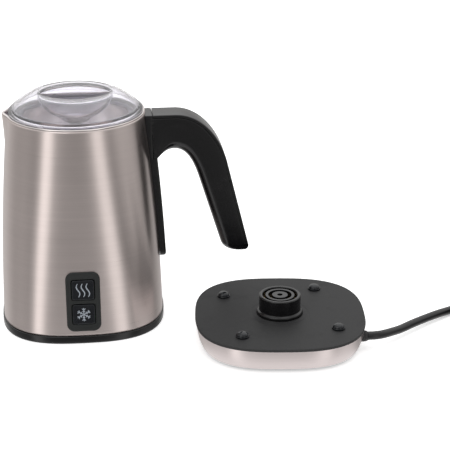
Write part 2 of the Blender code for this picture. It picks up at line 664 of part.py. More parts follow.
def buttons():
    """Two buttons that press straight in, their switches and the board behind them."""
    for label, side in (("hot", 1), ("cold", -1)):
        middle = (0, side * BUTTON_PITCH / 2)
        face = round_rect(BUTTON_W, BUTTON_H, 1.6, middle, 4)
        made = plate(f"button_{label}", [face], FLANGE_BACK - 0.7, PANEL_PROUD + BUTTON_PROUD,
                     GLOSS_BLACK, frame=PANEL_FRAME)
        bevel(made, 0.5, segments=2, angle=60)
        lip = round_rect(BUTTON_W + 1.8, BUTTON_H + 1.8, 1.6, middle, 4)
        boolean(made, plate(f"button_lip_{label}", [lip], BUTTON_BACK, FLANGE_BACK - 0.4, None,
                            CUTTERS, PANEL_FRAME), "UNION")
        body = block(f"switch_{label}", (6, 6, 3.5), (*middle, SWITCH_BACK + 1.75), WHITE,
                     frame=PANEL_FRAME)
        plunger = cylinder(f"plunger_{label}", 1.6, SWITCH_BACK + 3, SWITCH_TOP, middle, None,
                           CUTTERS, sides=14)
        plunger.matrix_world = PANEL_FRAME
        boolean(body, plunger, "UNION")
    high = SWITCH_BACK - GAP
    block("control_board", (22, 41, BOARD_T), (0, 0, high - BOARD_T / 2), BOARD, frame=PANEL_FRAME)


# ---- handle ---------------------------------------------------------------------------------
def strip_edge(z):
    """Outer edge of the strip at a height, from the jug's axis."""
    return shell_half(z) + STRIP_STAND * 0.9


def handle_stations():
    """Pairs of outer and inner points along the grip, in the plane through the jug's axis."""
    seam, top = HANDLE_SEAM_X + GAP, HANDLE_TOP_Z
    root_low = CAVE_TOP_Z - FILLET_H
    web = strip_edge(root_low)
    pairs = [((seam, top), (seam, root_low + GAP)), ((web, top), (web, root_low + GAP))]
    for reach, drop in WEB_CURVE:
        pairs.append(((web + reach, top), (web + reach, CAVE_TOP_Z - drop * FILLET_H)))
    pairs.append(((HANDLE_KNEE_X, top), (HANDLE_KNEE_X - 1, CAVE_TOP_Z)))
    lean = np.array(HANDLE_ELBOW) - np.array(HANDLE_END)
    lean = lean / hypot(*lean)
    outer = bezier(pairs[-1][0], (HANDLE_KNEE_X + 18, top), np.array(HANDLE_ELBOW) + 20 * lean,
                   HANDLE_ELBOW, 9)
    cave_lean = np.array(CAVE_ELBOW) - np.array(CAVE_END)
    cave_lean = cave_lean / hypot(*cave_lean)
    inner = bezier(pairs[-1][1], (HANDLE_KNEE_X + 8, CAVE_TOP_Z), np.array(CAVE_ELBOW) + 13 * cave_lean,
                   CAVE_ELBOW, 9)
    pairs += list(zip(outer[1:], inner[1:]))
    for share in np.linspace(0, 1, 4)[1:]:
        pairs.append((np.array(HANDLE_ELBOW) * (1 - share) + np.array(HANDLE_END) * share,
                      np.array(CAVE_ELBOW) * (1 - share) + np.array(CAVE_END) * share))
    low = HANDLE_TIP_Z
    pairs += [((HANDLE_END[0] - 0.3, low + 3.6), (CAVE_END[0] + 1.7, low + 3.8)),
              ((HANDLE_END[0] - 2.1, low + 1.3), (CAVE_END[0] + 4.6, low + 1.5)),
              ((HANDLE_END[0] - 5.4, low), (CAVE_END[0] + 8.3, low + 0.4))]
    return [(np.array(o, float), np.array(i, float)) for o, i in pairs]


def grip_section(outer, inner, width, back_round, front_round):
    """A ring across the handle: flat outer side with small corners, full round inner side."""
    depth = hypot(*(inner - outer))
    way = (inner - outer) / depth
    points = []
    for sign in (1, -1):
        side = []
        for a in np.linspace(0, pi / 2, 3):
            side.append((front_round * (1 - cos(a)), width / 2 - front_round + front_round * sin(a)))
        for a in np.linspace(0, pi / 2, 5):
            side.append((depth - back_round + back_round * sin(a),
                         width / 2 - back_round + back_round * cos(a)))
        if sign < 0:
            side = [(d, -y) for d, y in side[::-1]]
        points += side
    return [(JUG.x + outer[0] + way[0] * d, JUG.y + y, outer[1] + way[1] * d) for d, y in points]


def handle():
    """Bracket on the shell, grip and its cap."""
    stations = handle_stations()
    grip, cap = [], []
    last = len(stations) - 1
    for k, (outer, inner) in enumerate(stations):
        way = (inner - outer) / hypot(*(inner - outer))
        taper = (1.0, 0.9, 0.72)[max(0, k - last + 2)] if k > last - 2 else 1.0
        width = HANDLE_WIDTH * taper
        depth = hypot(*(inner - outer)) - CAP_T - GAP
        grip.append(grip_section(outer + way * (CAP_T + GAP), inner, width,
                                 min(6.0, depth * 0.42), 0.6))
        if k <= last - 2:
            cap.append(grip_section(outer, outer + way * CAP_T, width, 0.4, 1.0))
    loft("handle_grip", grip, BLACK)
    loft("handle_cap", cap, BLACK)

    heights = np.linspace(CAVE_TOP_Z - FILLET_H, STRIP_FOOT_Z + 3.5, 6)
    outline = [(SHELL_TOP_HALF - 8, HANDLE_TOP_Z), (SHELL_TOP_HALF - 8, STRIP_FOOT_Z)]
    foot = strip_edge(STRIP_FOOT_Z)
    outline += [(foot - 3.0, STRIP_FOOT_Z), (foot - 0.9, STRIP_FOOT_Z + 0.9)]
    outline += [(strip_edge(z), z) for z in heights[::-1]]
    outline += [(HANDLE_SEAM_X, CAVE_TOP_Z - FILLET_H), (HANDLE_SEAM_X, HANDLE_TOP_Z)]
    bracket = plate("handle_bracket", [outline], -HANDLE_WIDTH / 2, HANDLE_WIDTH / 2, BLACK, frame=UPRIGHT)
    bevel(bracket, 0.8, segments=2, angle=60)
    cheek = [ring(shell_radius(THETA, z) + GAP, z) for z in np.linspace(STRIP_FOOT_Z - 6, RIM_Z + 4, 9)]
    boolean(bracket, loft("shell_cheek", cheek, None, group=CUTTERS))
    return bracket


def handle_screws(shell, bracket):
    """Two screws from inside the shell: a long one into the grip, a short one into the strip."""
    grip = bpy.data.objects["handle_grip"]
    for label, z, reach in (("top", RIM_Z - POT_NECK - 2, 15.0), ("foot", SCREW_FOOT_Z, 3.0)):
        wall = shell_half(z) - STEEL
        seat = wall - 3 * GAP
        start, stop = seat - 1.9, wall + STEEL + reach
        profile = [(0, stop), (1.5, stop), (1.5, seat), (3.2, seat), (3.2, start), (0, start)]
        made = turned(f"handle_screw_{label}", profile, ZINC, steps=10)
        sideways = Matrix(((0, 0, 1, JUG.x * MM), (0, 1, 0, JUG.y * MM), (-1, 0, 0, z * MM), (0, 0, 0, 1)))
        made.matrix_world = sideways
        way = cylinder(f"screw_way_{label}", 1.5 + GAP, wall - 3, stop + 0.5, (0, 0), None, CUTTERS,
                       sides=14)
        way.matrix_world = sideways
        boolean(shell, way)
        boolean(bracket, way)
        if label == "top":
            boolean(grip, way)


# ---- lid ------------------------------------------------------------------------------------
def lid_top(t):
    """Top of the dome: a share of the way from the crown to the edge, as (radius, height)."""
    fall = (LID_RISE - LID_EDGE_RISE) * t ** 1.55
    return LID_CROWN_R + (LID_R - LID_CROWN_R) * t, RIM_Z + LID_RISE - fall


def bowl_height(share, sink):
    """Height of the bowl's surface at a share of its half-size, from the middle to its edge."""
    return RIM_Z + LID_RISE - BOWL_EDGE_DROP - (BOWL_DEPTH + sink) * (1 - share ** 2.2) ** 0.5


def bowl_solid(name, sink, flare):
    """The eye-shaped bowl as a solid, grown by an amount, with a flared top if it is a cutter."""
    unit = superellipse_radius(THETA, 1.0, BOWL_POWER)
    edge = RIM_Z + LID_RISE - BOWL_EDGE_DROP
    sizes = [(share, 0.0, bowl_height(share, sink)) for share in np.sin(np.linspace(0.15, pi / 2, 8))]
    if flare:
        sizes += [(1.0, flare, edge + BOWL_EDGE_DROP), (1.0, flare, edge + 2 * BOWL_EDGE_DROP)]
    rings = []
    for share, out, z in sizes:
        long, wide = ((half + sink) * share + out for half in BOWL_HALF)
        rings.append(np.stack([JUG.x + long * unit * np.cos(THETA), JUG.y + wide * unit * np.sin(THETA),
                               np.full_like(THETA, z)], axis=1))
    return loft(name, rings, None, group=CUTTERS)


def lid():
    """Clear lid: a dome with an eye-shaped finger bowl, a pinch bar across it and a skirt."""
    seat = RIM_Z + GAP
    skirt_r = POT_R - STEEL - 2 * GAP
    skirt_foot = RIM_Z - LID_SKIRT_DROP
    outside = [(0, RIM_Z + LID_RISE)] + [lid_top(t) for t in (0.0, 0.17, 0.38, 0.6, 0.8, 0.94, 1.0)]
    inside = [(LID_R, seat), (skirt_r, seat), (skirt_r, skirt_foot), (skirt_r - LID_SKIRT_T, skirt_foot),
              (skirt_r - LID_SKIRT_T, lid_top(0.8)[1] - LID_WALL)]
    for r, z in (lid_top(t) for t in (0.6, 0.38, 0.17, 0.0)):
        inside.append((r - 0.9, z - LID_WALL))
    inside.append((0, RIM_Z + LID_RISE - LID_WALL))
    made = turned("lid", outside + inside, CLEAR, steps=40)
    boolean(made, bowl_solid("bowl_outside", LID_WALL, 0), "UNION")
    boolean(made, bowl_solid("bowl_inside", 0, 0.8))
    half = BOWL_HALF[0] + LID_WALL / 2
    bar_top = RIM_Z + LID_RISE - BAR_DROP
    shares = np.sin(np.linspace(-pi / 2, pi / 2, 17))
    outline = [(half * q, min(bowl_height(abs(q), LID_WALL / 2), bar_top)) for q in shares]
    boolean(made, plate("pinch_bar", [outline], -BAR_T / 2, BAR_T / 2, None, CUTTERS, UPRIGHT), "UNION")
    low = skirt_foot + 1.8
    out = POT_R - STEEL + 1.5
    loop = [(skirt_r + GAP, low + GASKET_H), (out - 0.5, low + GASKET_H), (out, low + GASKET_H * 0.6),
            (out - 0.3, low + 0.2), (skirt_r + GAP, low)]
    turned("lid_gasket", loop, SILICONE, steps=36, closed=True)
    return made


# ---- power base -----------------------------------------------------------------------------
def base_outline(half):
    return [tuple(p[:2]) for p in turned_ring(half, BASE_POWER, 0, BASE_TURN)]


def skirt_profile():
    """Heights and half-widths of the skirt, from its shoulder down to its tucked-in foot."""
    drop = PLATE_Z - GAP - SKIRT_FOOT_Z
    lean = SKIRT_SHOULDER_HALF - SKIRT_FOOT_HALF
    return [(PLATE_Z - GAP - drop * t, SKIRT_SHOULDER_HALF - lean * (0.35 * t + 0.65 * t ** 3))
            for t in (0.0, 0.4, 0.75, 1.0)]


def base_skirt():
    """Brushed steel skirt round the base."""
    profile = skirt_profile()
    outside = [turned_ring(half, BASE_POWER, z, BASE_TURN) for z, half in profile]
    inside = [turned_ring(half - STEEL, BASE_POWER, z, BASE_TURN) for z, half in profile[::-1]]
    return loft("base_skirt", outside + inside, BRUSHED, loop=True)


def base_top_plate():
    """Black top plate: a hole for the connector post, pockets for its collar and the pads."""
    made = plate("base_top_plate", [base_outline(BASE_HALF)], PLATE_Z, BASE_H, MATT_BLACK)
    bevel(made, 0.6, segments=2, angle=60)
    boolean(made, cylinder("post_way", STEM_R + GAP, 0, 40, BASE, None, CUTTERS, sides=48))
    pockets = [(BASE, COLLAR_R)] + [(at, PAD_R) for at in square(PAD_AT, PAD_TURN, BASE)]
    for k, (at, radius) in enumerate(pockets):
        pocket = cylinder(f"pocket_{k}", radius + GAP, BASE_H - PLATE_POCKET, BASE_H + PLATE_POCKET,
                          at, None, CUTTERS, sides=32)
        boolean(made, pocket)
    return made


def base_tray():
    """Bottom tray of the base with four bosses up to the top plate."""
    made = plate("base_tray", [base_outline(SKIRT_FOOT_HALF - STEEL - GAP * 1.3)], TRAY_Z, TRAY_TOP, BLACK)
    for k, at in enumerate(square(FOOT_AT, BASE_TURN, BASE)):
        boss = cylinder(f"boss_{k + 1}", 4.0, TRAY_Z + TRAY_T / 2, PLATE_Z - GAP, at, None, CUTTERS,
                        sides=16)
        boolean(made, boss, "UNION")
        cylinder(f"base_foot_{k + 1}", FOOT_R, 0, FOOT_H, at, RUBBER, sides=16, tip=FOOT_R - 0.4)
    return made


def coupler_post():
    """Round connector post with two ring grooves and a centre hole, and its two contacts."""
    top = BASE_H + POST_H
    (out_a, in_a), (out_b, in_b) = GROOVES
    low = top - GROOVE_DEPTH
    profile = [(0, low), (POST_HOLE_R, low), (POST_HOLE_R, top - 0.4), (in_b, top - 0.4), (in_b, low),
               (out_b, low), (out_b, top - 0.4), (in_a, top - 0.4), (in_a, low), (out_a, low),
               (out_a, top - 0.5), (out_a + 0.5, top), (POST_R - 0.5, top), (POST_R, top - 0.5),
               (POST_R, BASE_H + COLLAR_H + 0.6), (COLLAR_R - 0.4, BASE_H + COLLAR_H),
               (COLLAR_R, BASE_H + COLLAR_H - 0.5), (COLLAR_R, POCKET_SEAT_Z),
               (STEM_R, POCKET_SEAT_Z), (STEM_R, TRAY_TOP + GAP), (0, TRAY_TOP + GAP)]
    turned("coupler_post", profile, BLACK, BASE, steps=28)
    for label, (outer, inner) in zip(("outer", "inner"), GROOVES):
        mid = (outer + inner) / 2
        loop = [(mid + 0.3, low + 1.6), (mid + 0.3, low + GAP), (mid - 0.3, low + GAP),
                (mid - 0.3, low + 1.6)]
        turned(f"post_contact_{label}", loop, BRASS, BASE, steps=24, closed=True)


def base_pads():
    """Four domed rubber pads on the plate."""
    for k, at in enumerate(square(PAD_AT, PAD_TURN, BASE)):
        side = BASE_H + PAD_SIDE
        dome = [(0, BASE_H + PAD_H)]
        dome += [(PAD_R * sin(a), side + (PAD_H - PAD_SIDE) * cos(a)) for a in np.linspace(0.45, pi / 2, 3)]
        dome += [(PAD_R, POCKET_SEAT_Z), (0, POCKET_SEAT_Z)]
        turned(f"base_pad_{k + 1}", dome, BLACK, at, steps=14)


# ---- cord -----------------------------------------------------------------------------------
def smooth_route(route, spacing):
    """Points at even steps along the Catmull-Rom curve through a route's points."""
    p = np.array([2 * np.array(route[0]) - np.array(route[1]), *route,
                  2 * np.array(route[-1]) - np.array(route[-2])])
    t = np.linspace(0, 1, 40, endpoint=False)[:, None]
    runs = []
    for a, b, c, d in zip(p, p[1:], p[2:], p[3:]):
        runs.append(0.5 * (2 * b + (c - a) * t + (2 * a - 5 * b + 4 * c - d) * t ** 2
                           + (3 * b - a - 3 * c + d) * t ** 3))
    dense = np.vstack(runs + [p[-2:-1]])
    along = np.concatenate([[0], np.cumsum(np.linalg.norm(np.diff(dense, axis=0), axis=1))])
    count = ceil(along[-1] / spacing) + 1
    even = np.linspace(0, along[-1], count)
    return np.stack([np.interp(even, along, dense[:, k]) for k in range(3)], axis=1)


def gland_and_cord(skirt):
    """Strain relief through the skirt, the lead to the coil, and the coil as one ring."""
    start = CORD_DATUM + Vector(CORD_ROUTE[0])
    inner_end = start.x - GAP - GLAND_LENGTH
    face = Matrix(((0, 0, 1, 0), (0, 1, 0, start.y * MM), (-1, 0, 0, start.z * MM), (0, 0, 0, 1)))
    outer_end = start.x - GAP
    profile = [(0, outer_end), (CORD_R + 0.6, outer_end), (CORD_R + 0.9, outer_end - GLAND_OUT),
               (CORD_R + 1.1, outer_end - 6), (CORD_R + 2.0, outer_end - 12),
               (CORD_R + 2.2, inner_end), (0, inner_end)]
    gland = turned("cord_gland", profile, RUBBER, steps=16)
    gland.matrix_world = face
    way = cylinder("gland_way", CORD_R + 1.1 + GAP, outer_end - 9, outer_end + 9, (0, 0), None,
                   CUTTERS, sides=20)
    way.matrix_world = face
    boolean(skirt, way)

    route = [CORD_DATUM + Vector((x, y, max(z, CORD_R + 0.05))) for x, y, z in CORD_ROUTE]
    tube("cord", smooth_route(route, 2.4 * CORD_R), CORD_R, RUBBER)
    coil = CORD_DATUM + Vector((*COIL_AT, 0))
    loop = [(COIL_OUT_R - 2.2, COIL_H), (COIL_OUT_R, COIL_H - 2.6), (COIL_OUT_R, 2.0),
            (COIL_OUT_R - 1.6, 0.05), (COIL_IN_R + 1.6, 0.05), (COIL_IN_R, 2.0),
            (COIL_IN_R, COIL_H - 2.6), (COIL_IN_R + 2.2, COIL_H)]
    turned("cord_coil", loop, RUBBER, coil, steps=32, closed=True)
    return coil


def plug(coil):
    """Flat two-pin plug that lies on the floor past the coil."""
    a = radians(CORD_HEADING)
    along, across = Vector((cos(a), sin(a), 0)), Vector((-sin(a), cos(a), 0))
    start = coil + across * PLUG_LINE + along * PLUG_FROM_TANGENT
    sections = [(0, CORD_R + 1.0, CORD_R + 1.0, 2.0), (PLUG_RELIEF, 6.2, 5.2, 2.2),
                (PLUG_RELIEF + 5, 9.5, 6.0, 2.8), (PLUG_RELIEF + 14, PLUG_W / 2 - 2, PLUG_T / 2 - 0.2, 3.6),
                (PLUG_RELIEF + PLUG_LENGTH - 2, PLUG_W / 2, PLUG_T / 2, 4.0),
                (PLUG_RELIEF + PLUG_LENGTH, PLUG_W / 2 - 1.2, PLUG_T / 2 - 1.2, 4.0)]
    rings = []
    angles = np.linspace(0, 2 * pi, 20, endpoint=False)
    for run, wide, thick, power in sections:
        r = superellipse_radius(angles, 1.0, power)
        centre = start + along * run + Vector((0, 0, PLUG_Z))
        rings.append([centre + across * (wide * q * cos(t)) + Vector((0, 0, thick * q * sin(t)))
                      for t, q in zip(angles, r)])
    body = loft("plug_body", rings, BLACK)
    end = PLUG_RELIEF + PLUG_LENGTH
    for k, side in enumerate((-1, 1)):
        foot = start + along * (end + GAP) + across * (side * PIN_PITCH / 2) + Vector((0, 0, PLUG_Z))
        lean = Vector((0, 0, 1)).rotation_difference(along).to_matrix().to_4x4()
        profile = [(0, PIN_LENGTH), (PIN_R * 0.6, PIN_LENGTH), (PIN_R, PIN_LENGTH - 1.2), (PIN_R, 0),
                   (0, 0)]
        pin = turned(f"plug_pin_{k + 1}", profile, ZINC, steps=14)
        pin.matrix_world = Matrix.Translation(foot * MM) @ lean
    return body


# ---- assembly -------------------------------------------------------------------------------
def build():
    shell = outer_shell()
    panel_hole(shell)
    inner_pot()
    foot_ring()
    bottom_cover()
    bottom_screws()
    coupler_socket()
    boards()
    motor_bracket()
    motor()
    heater()
    whisk()
    button_panel()
    buttons()
    handle_screws(shell, handle())
    lid()
    skirt = base_skirt()
    base_top_plate()
    base_tray()
    coupler_post()
    base_pads()
    plug(gland_and_cord(skirt))


build()
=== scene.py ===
"""Looks of an electric milk frother: a brushed steel jug with a clear lid beside its corded base.

Every new piece is a surface worked out on a grid with numpy, in millimetres, and is turned into
metres when its mesh is made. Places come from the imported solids.
"""
from math import atan2, cos, pi, radians, sin

import bmesh
import bpy
import numpy as np
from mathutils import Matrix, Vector


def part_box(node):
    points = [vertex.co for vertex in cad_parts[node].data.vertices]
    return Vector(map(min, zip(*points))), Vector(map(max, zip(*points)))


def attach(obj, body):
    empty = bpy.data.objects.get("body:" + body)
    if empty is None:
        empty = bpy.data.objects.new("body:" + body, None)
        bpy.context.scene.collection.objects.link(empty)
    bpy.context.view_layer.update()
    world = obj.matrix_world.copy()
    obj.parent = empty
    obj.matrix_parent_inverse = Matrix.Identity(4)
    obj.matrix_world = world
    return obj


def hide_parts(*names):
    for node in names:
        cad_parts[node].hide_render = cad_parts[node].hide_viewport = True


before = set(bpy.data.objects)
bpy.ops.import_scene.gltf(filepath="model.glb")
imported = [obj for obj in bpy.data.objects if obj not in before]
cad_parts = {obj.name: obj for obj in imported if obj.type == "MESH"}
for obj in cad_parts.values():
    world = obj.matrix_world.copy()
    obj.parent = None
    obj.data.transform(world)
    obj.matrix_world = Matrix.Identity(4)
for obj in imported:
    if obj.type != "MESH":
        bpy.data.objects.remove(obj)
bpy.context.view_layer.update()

MM = 0.001


# ---- places and sizes, in millimetres --------------------------------------------------------
def middle(node):
    """Middle of a solid's box, seen from above."""
    low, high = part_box(node)
    return np.array([(low.x + high.x) / 2, (low.y + high.y) / 2, 0.0]) / MM


def top(node):
    """Height of a solid's highest point."""
    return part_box(node)[1].z / MM


JUG = middle("motor_can")
BASE = middle("coupler_post")
RIM_Z = top("inner_pot")
BASE_H = top("base_top_plate")
POST_TOP = top("coupler_post")

GAP = 0.3
STEEL = 0.8
LIP = 0.9
SHELL_FOOT_HALF, SHELL_MID_HALF, SHELL_TOP_HALF = 58.3, 55.1, 48.5
SHELL_FOOT_Z, SHELL_MID_Z, SHELL_TOP_Z = 5.0, 81.0, 154.0
FOOT_POWER, SHELL_TURN_POWER = 2.77, 1.3
FOOT_RING_HALF, FOOT_RING_H, FOOT_RING_BAND = 59.0, 5.6, 4.3
SPOUT_REACH, SPOUT_HALF_ANGLE, SPOUT_DROP = 3.8, radians(12.9), 23.0
POT_R, POT_CORNER, POT_FLOOR_Z, POT_NECK = 44.8, 8.0, 50.0, 22.0
NECK_FOOT_Z = RIM_Z - POT_NECK - 4

BASE_HALF, BASE_POWER, BASE_TURN = 60.0, 2.77, radians(-5.4)
PLATE_T = 1.8
SKIRT_SHOULDER_HALF, SKIRT_FOOT_HALF, SKIRT_FOOT_Z = 59.3, 55.7, 2.4

CORD_R = 3.0
CORD_ROUTE = ((58.6, -25.4, 9.4), (63.5, -25.2, 9.3), (69.5, -23.0, 8.7), (77.0, -18.0, 7.7),
              (85.6, -11.0, 6.3), (96.2, -2.6, 5.9), (107.6, 6.3, 5.1), (119.0, 14.4, 4.4),
              (127.0, 20.0, 3.5), (133.2, 24.2, 3.05))
COIL_AT = BASE + [173.2, 7.2, 0.0]
CORD_HEADING = radians(34.8)


# ---- meshes ----------------------------------------------------------------------------------
def skin(rows, loop=False, caps=None):
    """A tube of quads through rows of points, each row closed on itself.

    The last row joins the first when it is a loop; otherwise the caps, two middle points,
    close the ends with fans. Rows that climb while their points run anticlockwise face out.
    """
    count, across = rows.shape[:2]
    i = np.arange(count if loop else count - 1)[:, None]
    j = np.arange(across)[None, :]
    up, on = (i + 1) % count, (j + 1) % across
    quads = np.stack([i * across + j, i * across + on, up * across + on, up * across + j], -1)
    points, faces = rows.reshape(-1, 3), quads.reshape(-1, 4).tolist()
    if caps is not None:
        first, last = len(points), len(points) + 1
        points = np.vstack([points, caps])
        j, on, far = j[0], on[0], (count - 1) * across
        faces += np.stack([np.full_like(j, first), on, j], -1).tolist()
        faces += np.stack([np.full_like(j, last), far + j, far + on], -1).tolist()
    return points, faces


def joined(shells):
    """Several shells as one list of points and one of faces."""
    points, faces, start = [], [], 0
    for some, loops in shells:
        points.append(some)
        faces += [[start + k for k in loop] for loop in loops]
        start += len(some)
    return np.vstack(points), faces


def capped(rows):
    """A tube whose ends are closed by fans from the middles of its first and last rows."""
    return skin(rows, caps=np.array([rows[0].mean(0), rows[-1].mean(0)]))


def poles(centre, low, high):
    """Two points on the upright through a centre, which close a turned surface."""
    return np.array([[*centre[:2], low], [*centre[:2], high]])


def piece(name, shell, body, look, stands_for=(), sharp=35, outward=True):
    """A mesh object of a shell in metres that rides on a body and stands for solids."""
    points, faces = shell
    mesh = bpy.data.meshes.new(name)
    mesh.from_pydata((points * MM).tolist(), [], faces)
    if outward:
        bm = bmesh.new()
        bm.from_mesh(mesh)
        bmesh.ops.recalc_face_normals(bm, faces=bm.faces)
        bm.to_mesh(mesh)
        bm.free()
    mesh.shade_smooth()
    mesh.set_sharp_from_angle(angle=radians(sharp))
    mesh.materials.append(look)
    made = bpy.data.objects.new(name, mesh)
    bpy.context.scene.collection.objects.link(made)
    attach(made, body)
    if stands_for:
        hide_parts(*stands_for)
    return made


def filleted(corners, radius, steps=5):
    """A closed outline whose corners are rounded.

    Each corner becomes a quadratic Bezier arc between two points a radius away from it along
    its two sides, or less where a side is short.
    """
    p = np.array(corners, float)
    back, ahead = np.roll(p, 1, 0) - p, np.roll(p, -1, 0) - p
    back_run = np.linalg.norm(back, axis=1, keepdims=True)
    ahead_run = np.linalg.norm(ahead, axis=1, keepdims=True)
    reach = np.minimum(np.broadcast_to(np.reshape(radius, (-1, 1)), back_run.shape),
                       0.45 * np.minimum(back_run, ahead_run))
    a, b = p + back / back_run * reach, p + ahead / ahead_run * reach
    t = np.linspace(0, 1, steps)[:, None, None]
    arcs = (1 - t) ** 2 * a + 2 * t * (1 - t) * p + t ** 2 * b
    return arcs.transpose(1, 0, 2).reshape(-1, 2)


def angles(sides):
    """Even angles once round, as one row."""
    return np.linspace(0, 2 * pi, sides, endpoint=False)[None, :]


def polar(radius, height, centre, theta):
    """Points at a radius and a height for every row and angle."""
    radius, height, theta = np.broadcast_arrays(radius, height, theta)
    return np.stack([centre[0] + radius * np.cos(theta), centre[1] + radius * np.sin(theta),
                     height], -1)


def turned(outline, centre, sides=96):
    """A closed outline of (radius, height) turned about the vertical."""
    outline = np.array(outline, float)
    return skin(polar(outline[:, :1], outline[:, 1:], centre, angles(sides)), loop=True)


def turned_solid(profile, centre, sides=96):
    """An open profile from axis to axis, turned about the vertical, its ends closed by fans."""
    profile = np.array(profile, float)
    inner = profile[1:-1]
    return skin(polar(inner[:, :1], inner[:, 1:], centre, angles(sides)),
                caps=poles(centre, *profile[[0, -1], 1]))


def turned_block(start_z, corners, end_z, radius, centre):
    """A turned solid whose outline leaves the axis, rounds its corners and comes back to it."""
    outline = filleted([(0, start_z)] + corners + [(0, end_z)],
                       [0.01] + [radius] * len(corners) + [0.01])
    outline = outline[outline[:, 0] > 0.05]
    return turned_solid(np.vstack([[0, start_z], outline, [0, end_z]]), centre, 128)


def superellipse(theta, half, power):
    """Distance from the middle to the outline |x|^power + |y|^power = half^power."""
    return half / (np.abs(np.cos(theta)) ** power + np.abs(np.sin(theta)) ** power) ** (1 / power)


def smooth_step(x):
    """0 below 0, 1 above 1 and 3x^2 - 2x^3 between."""
    x = np.clip(x, 0, 1)
    return x * x * (3 - 2 * x)


def sweep(path, profile, across, up, caps=True):
    """A profile of (across, up) offsets carried along a path with its two directions."""
    rows = path[:, None] + profile[..., :1] * across[:, None] + profile[..., 1:] * up[:, None]
    return skin(rows, caps=np.array([path[0], path[-1]])) if caps else skin(rows, loop=True)


def level_sweep(path, profile, across):
    """A sweep along a straight level path, with one direction across it all the way."""
    count = len(path)
    return sweep(path, profile, np.tile(across, (count, 1)), np.tile([0, 0, 1.0], (count, 1)))


# ---- camera, floor and light -----------------------------------------------------------------
CAMERA_FROM_BASE = Vector((-0.13435, -0.8635, 0.4291))
CAMERA_PITCH, CAMERA_HEADING = radians(68.5), radians(-6.3)
LENS = 108.5


def camera():
    """The camera, in front of the base and above it, turned a little to the right."""
    data = bpy.data.cameras.new("camera")
    data.lens = LENS
    made = bpy.data.objects.new("camera", data)
    made.location = Vector((*(BASE[:2] * MM), 0)) + CAMERA_FROM_BASE
    made.rotation_euler = (CAMERA_PITCH, 0, CAMERA_HEADING)
    bpy.context.scene.collection.objects.link(made)
    bpy.context.scene.camera = made


camera()


# ---- cord and plug ---------------------------------------------------------------------------
HEADING = np.array([cos(CORD_HEADING), sin(CORD_HEADING), 0.0])
HEADING_LEFT = np.array([-sin(CORD_HEADING), cos(CORD_HEADING), 0.0])
COIL_START_R, COIL_PITCH = 36.8, 6.2
LAYER_TURNS = 1.6
CLIMB_TURNS = 0.25
COIL_TURNS = 3.0
LAYER_Z, TOP_LAYER_Z = 3.05, 9.2
PLUG_RUN = 27.0
PLUG_Z = 7.0
PLUG_RELIEF, PLUG_LENGTH, PLUG_W, PLUG_T = 14.0, 34.0, 34.0, 13.4
PIN_R, PIN_LENGTH, PIN_PITCH = 2.0, 19.0, 19.0
PIN_SLEEVE, PIN_ROUND = 9.5, 1.2
RIB_PITCH, RIDGE_PITCH, PLUG_ROUND = 2.8, 2.4, 1.5


def coil_route():
    """Points round the coil, clockwise from above.

    The lower layer winds inwards by a cord's width a turn, the cord climbs onto it, and the
    upper layer winds outwards again.
    """
    t = np.arange(0, COIL_TURNS + 1e-9, 1 / 24)
    inner = COIL_START_R - COIL_PITCH * LAYER_TURNS
    climb = smooth_step((t - LAYER_TURNS) / CLIMB_TURNS)
    back = t - LAYER_TURNS - CLIMB_TURNS
    radius = np.where(t < LAYER_TURNS, COIL_START_R - COIL_PITCH * t,
                      inner + 0.6 * climb + COIL_PITCH * np.maximum(back, 0))
    angle = CORD_HEADING + pi / 2 - 2 * pi * t
    height = LAYER_Z + (TOP_LAYER_Z - LAYER_Z) * climb
    return COIL_AT + np.stack([radius * np.cos(angle), radius * np.sin(angle), height], -1)


def plug_start():
    """Where the plug's relief begins, and the last points of the cord before it."""
    leave = coil_route()[-1]
    runs = np.linspace(0.2, 1, 6)[:, None]
    points = leave + HEADING * PLUG_RUN * runs
    points[:, 2] = TOP_LAYER_Z + (PLUG_Z - TOP_LAYER_Z) * smooth_step(runs[:, 0])
    return points


def even_curve(route, spacing):
    """Points at even steps along the Catmull-Rom curve through a route's points."""
    p = np.vstack([2 * route[0] - route[1], route, 2 * route[-1] - route[-2]])
    t = np.linspace(0, 1, 24, endpoint=False)[None, :, None]
    a, b, c, d = p[:-3, None], p[1:-2, None], p[2:-1, None], p[3:, None]
    dense = 0.5 * (2 * b + (c - a) * t + (2 * a - 5 * b + 4 * c - d) * t ** 2
                   + (3 * b - a - 3 * c + d) * t ** 3)
    dense = np.vstack([dense.reshape(-1, 3), route[-1:]])
    along = np.concatenate([[0], np.cumsum(np.linalg.norm(np.diff(dense, axis=0), axis=1))])
    even = np.linspace(0, along[-1], int(along[-1] / spacing) + 1)
    return np.stack([np.interp(even, along, dense[:, k]) for k in range(3)], -1), along[-1]


def level_frame(path):
    """A level direction across a path, and the one square to both."""
    ahead = np.gradient(path, axis=0)
    across = np.cross(ahead, [0, 0, 1.0])
    across /= np.linalg.norm(across, axis=1, keepdims=True)
    up = np.cross(across, ahead)
    return across, up / np.linalg.norm(up, axis=1, keepdims=True)


def round_profile(radius, sides=16):
    """A circle of offsets."""
    theta = angles(sides)[0]
    return np.stack([radius * np.cos(theta), radius * np.sin(theta)], -1)


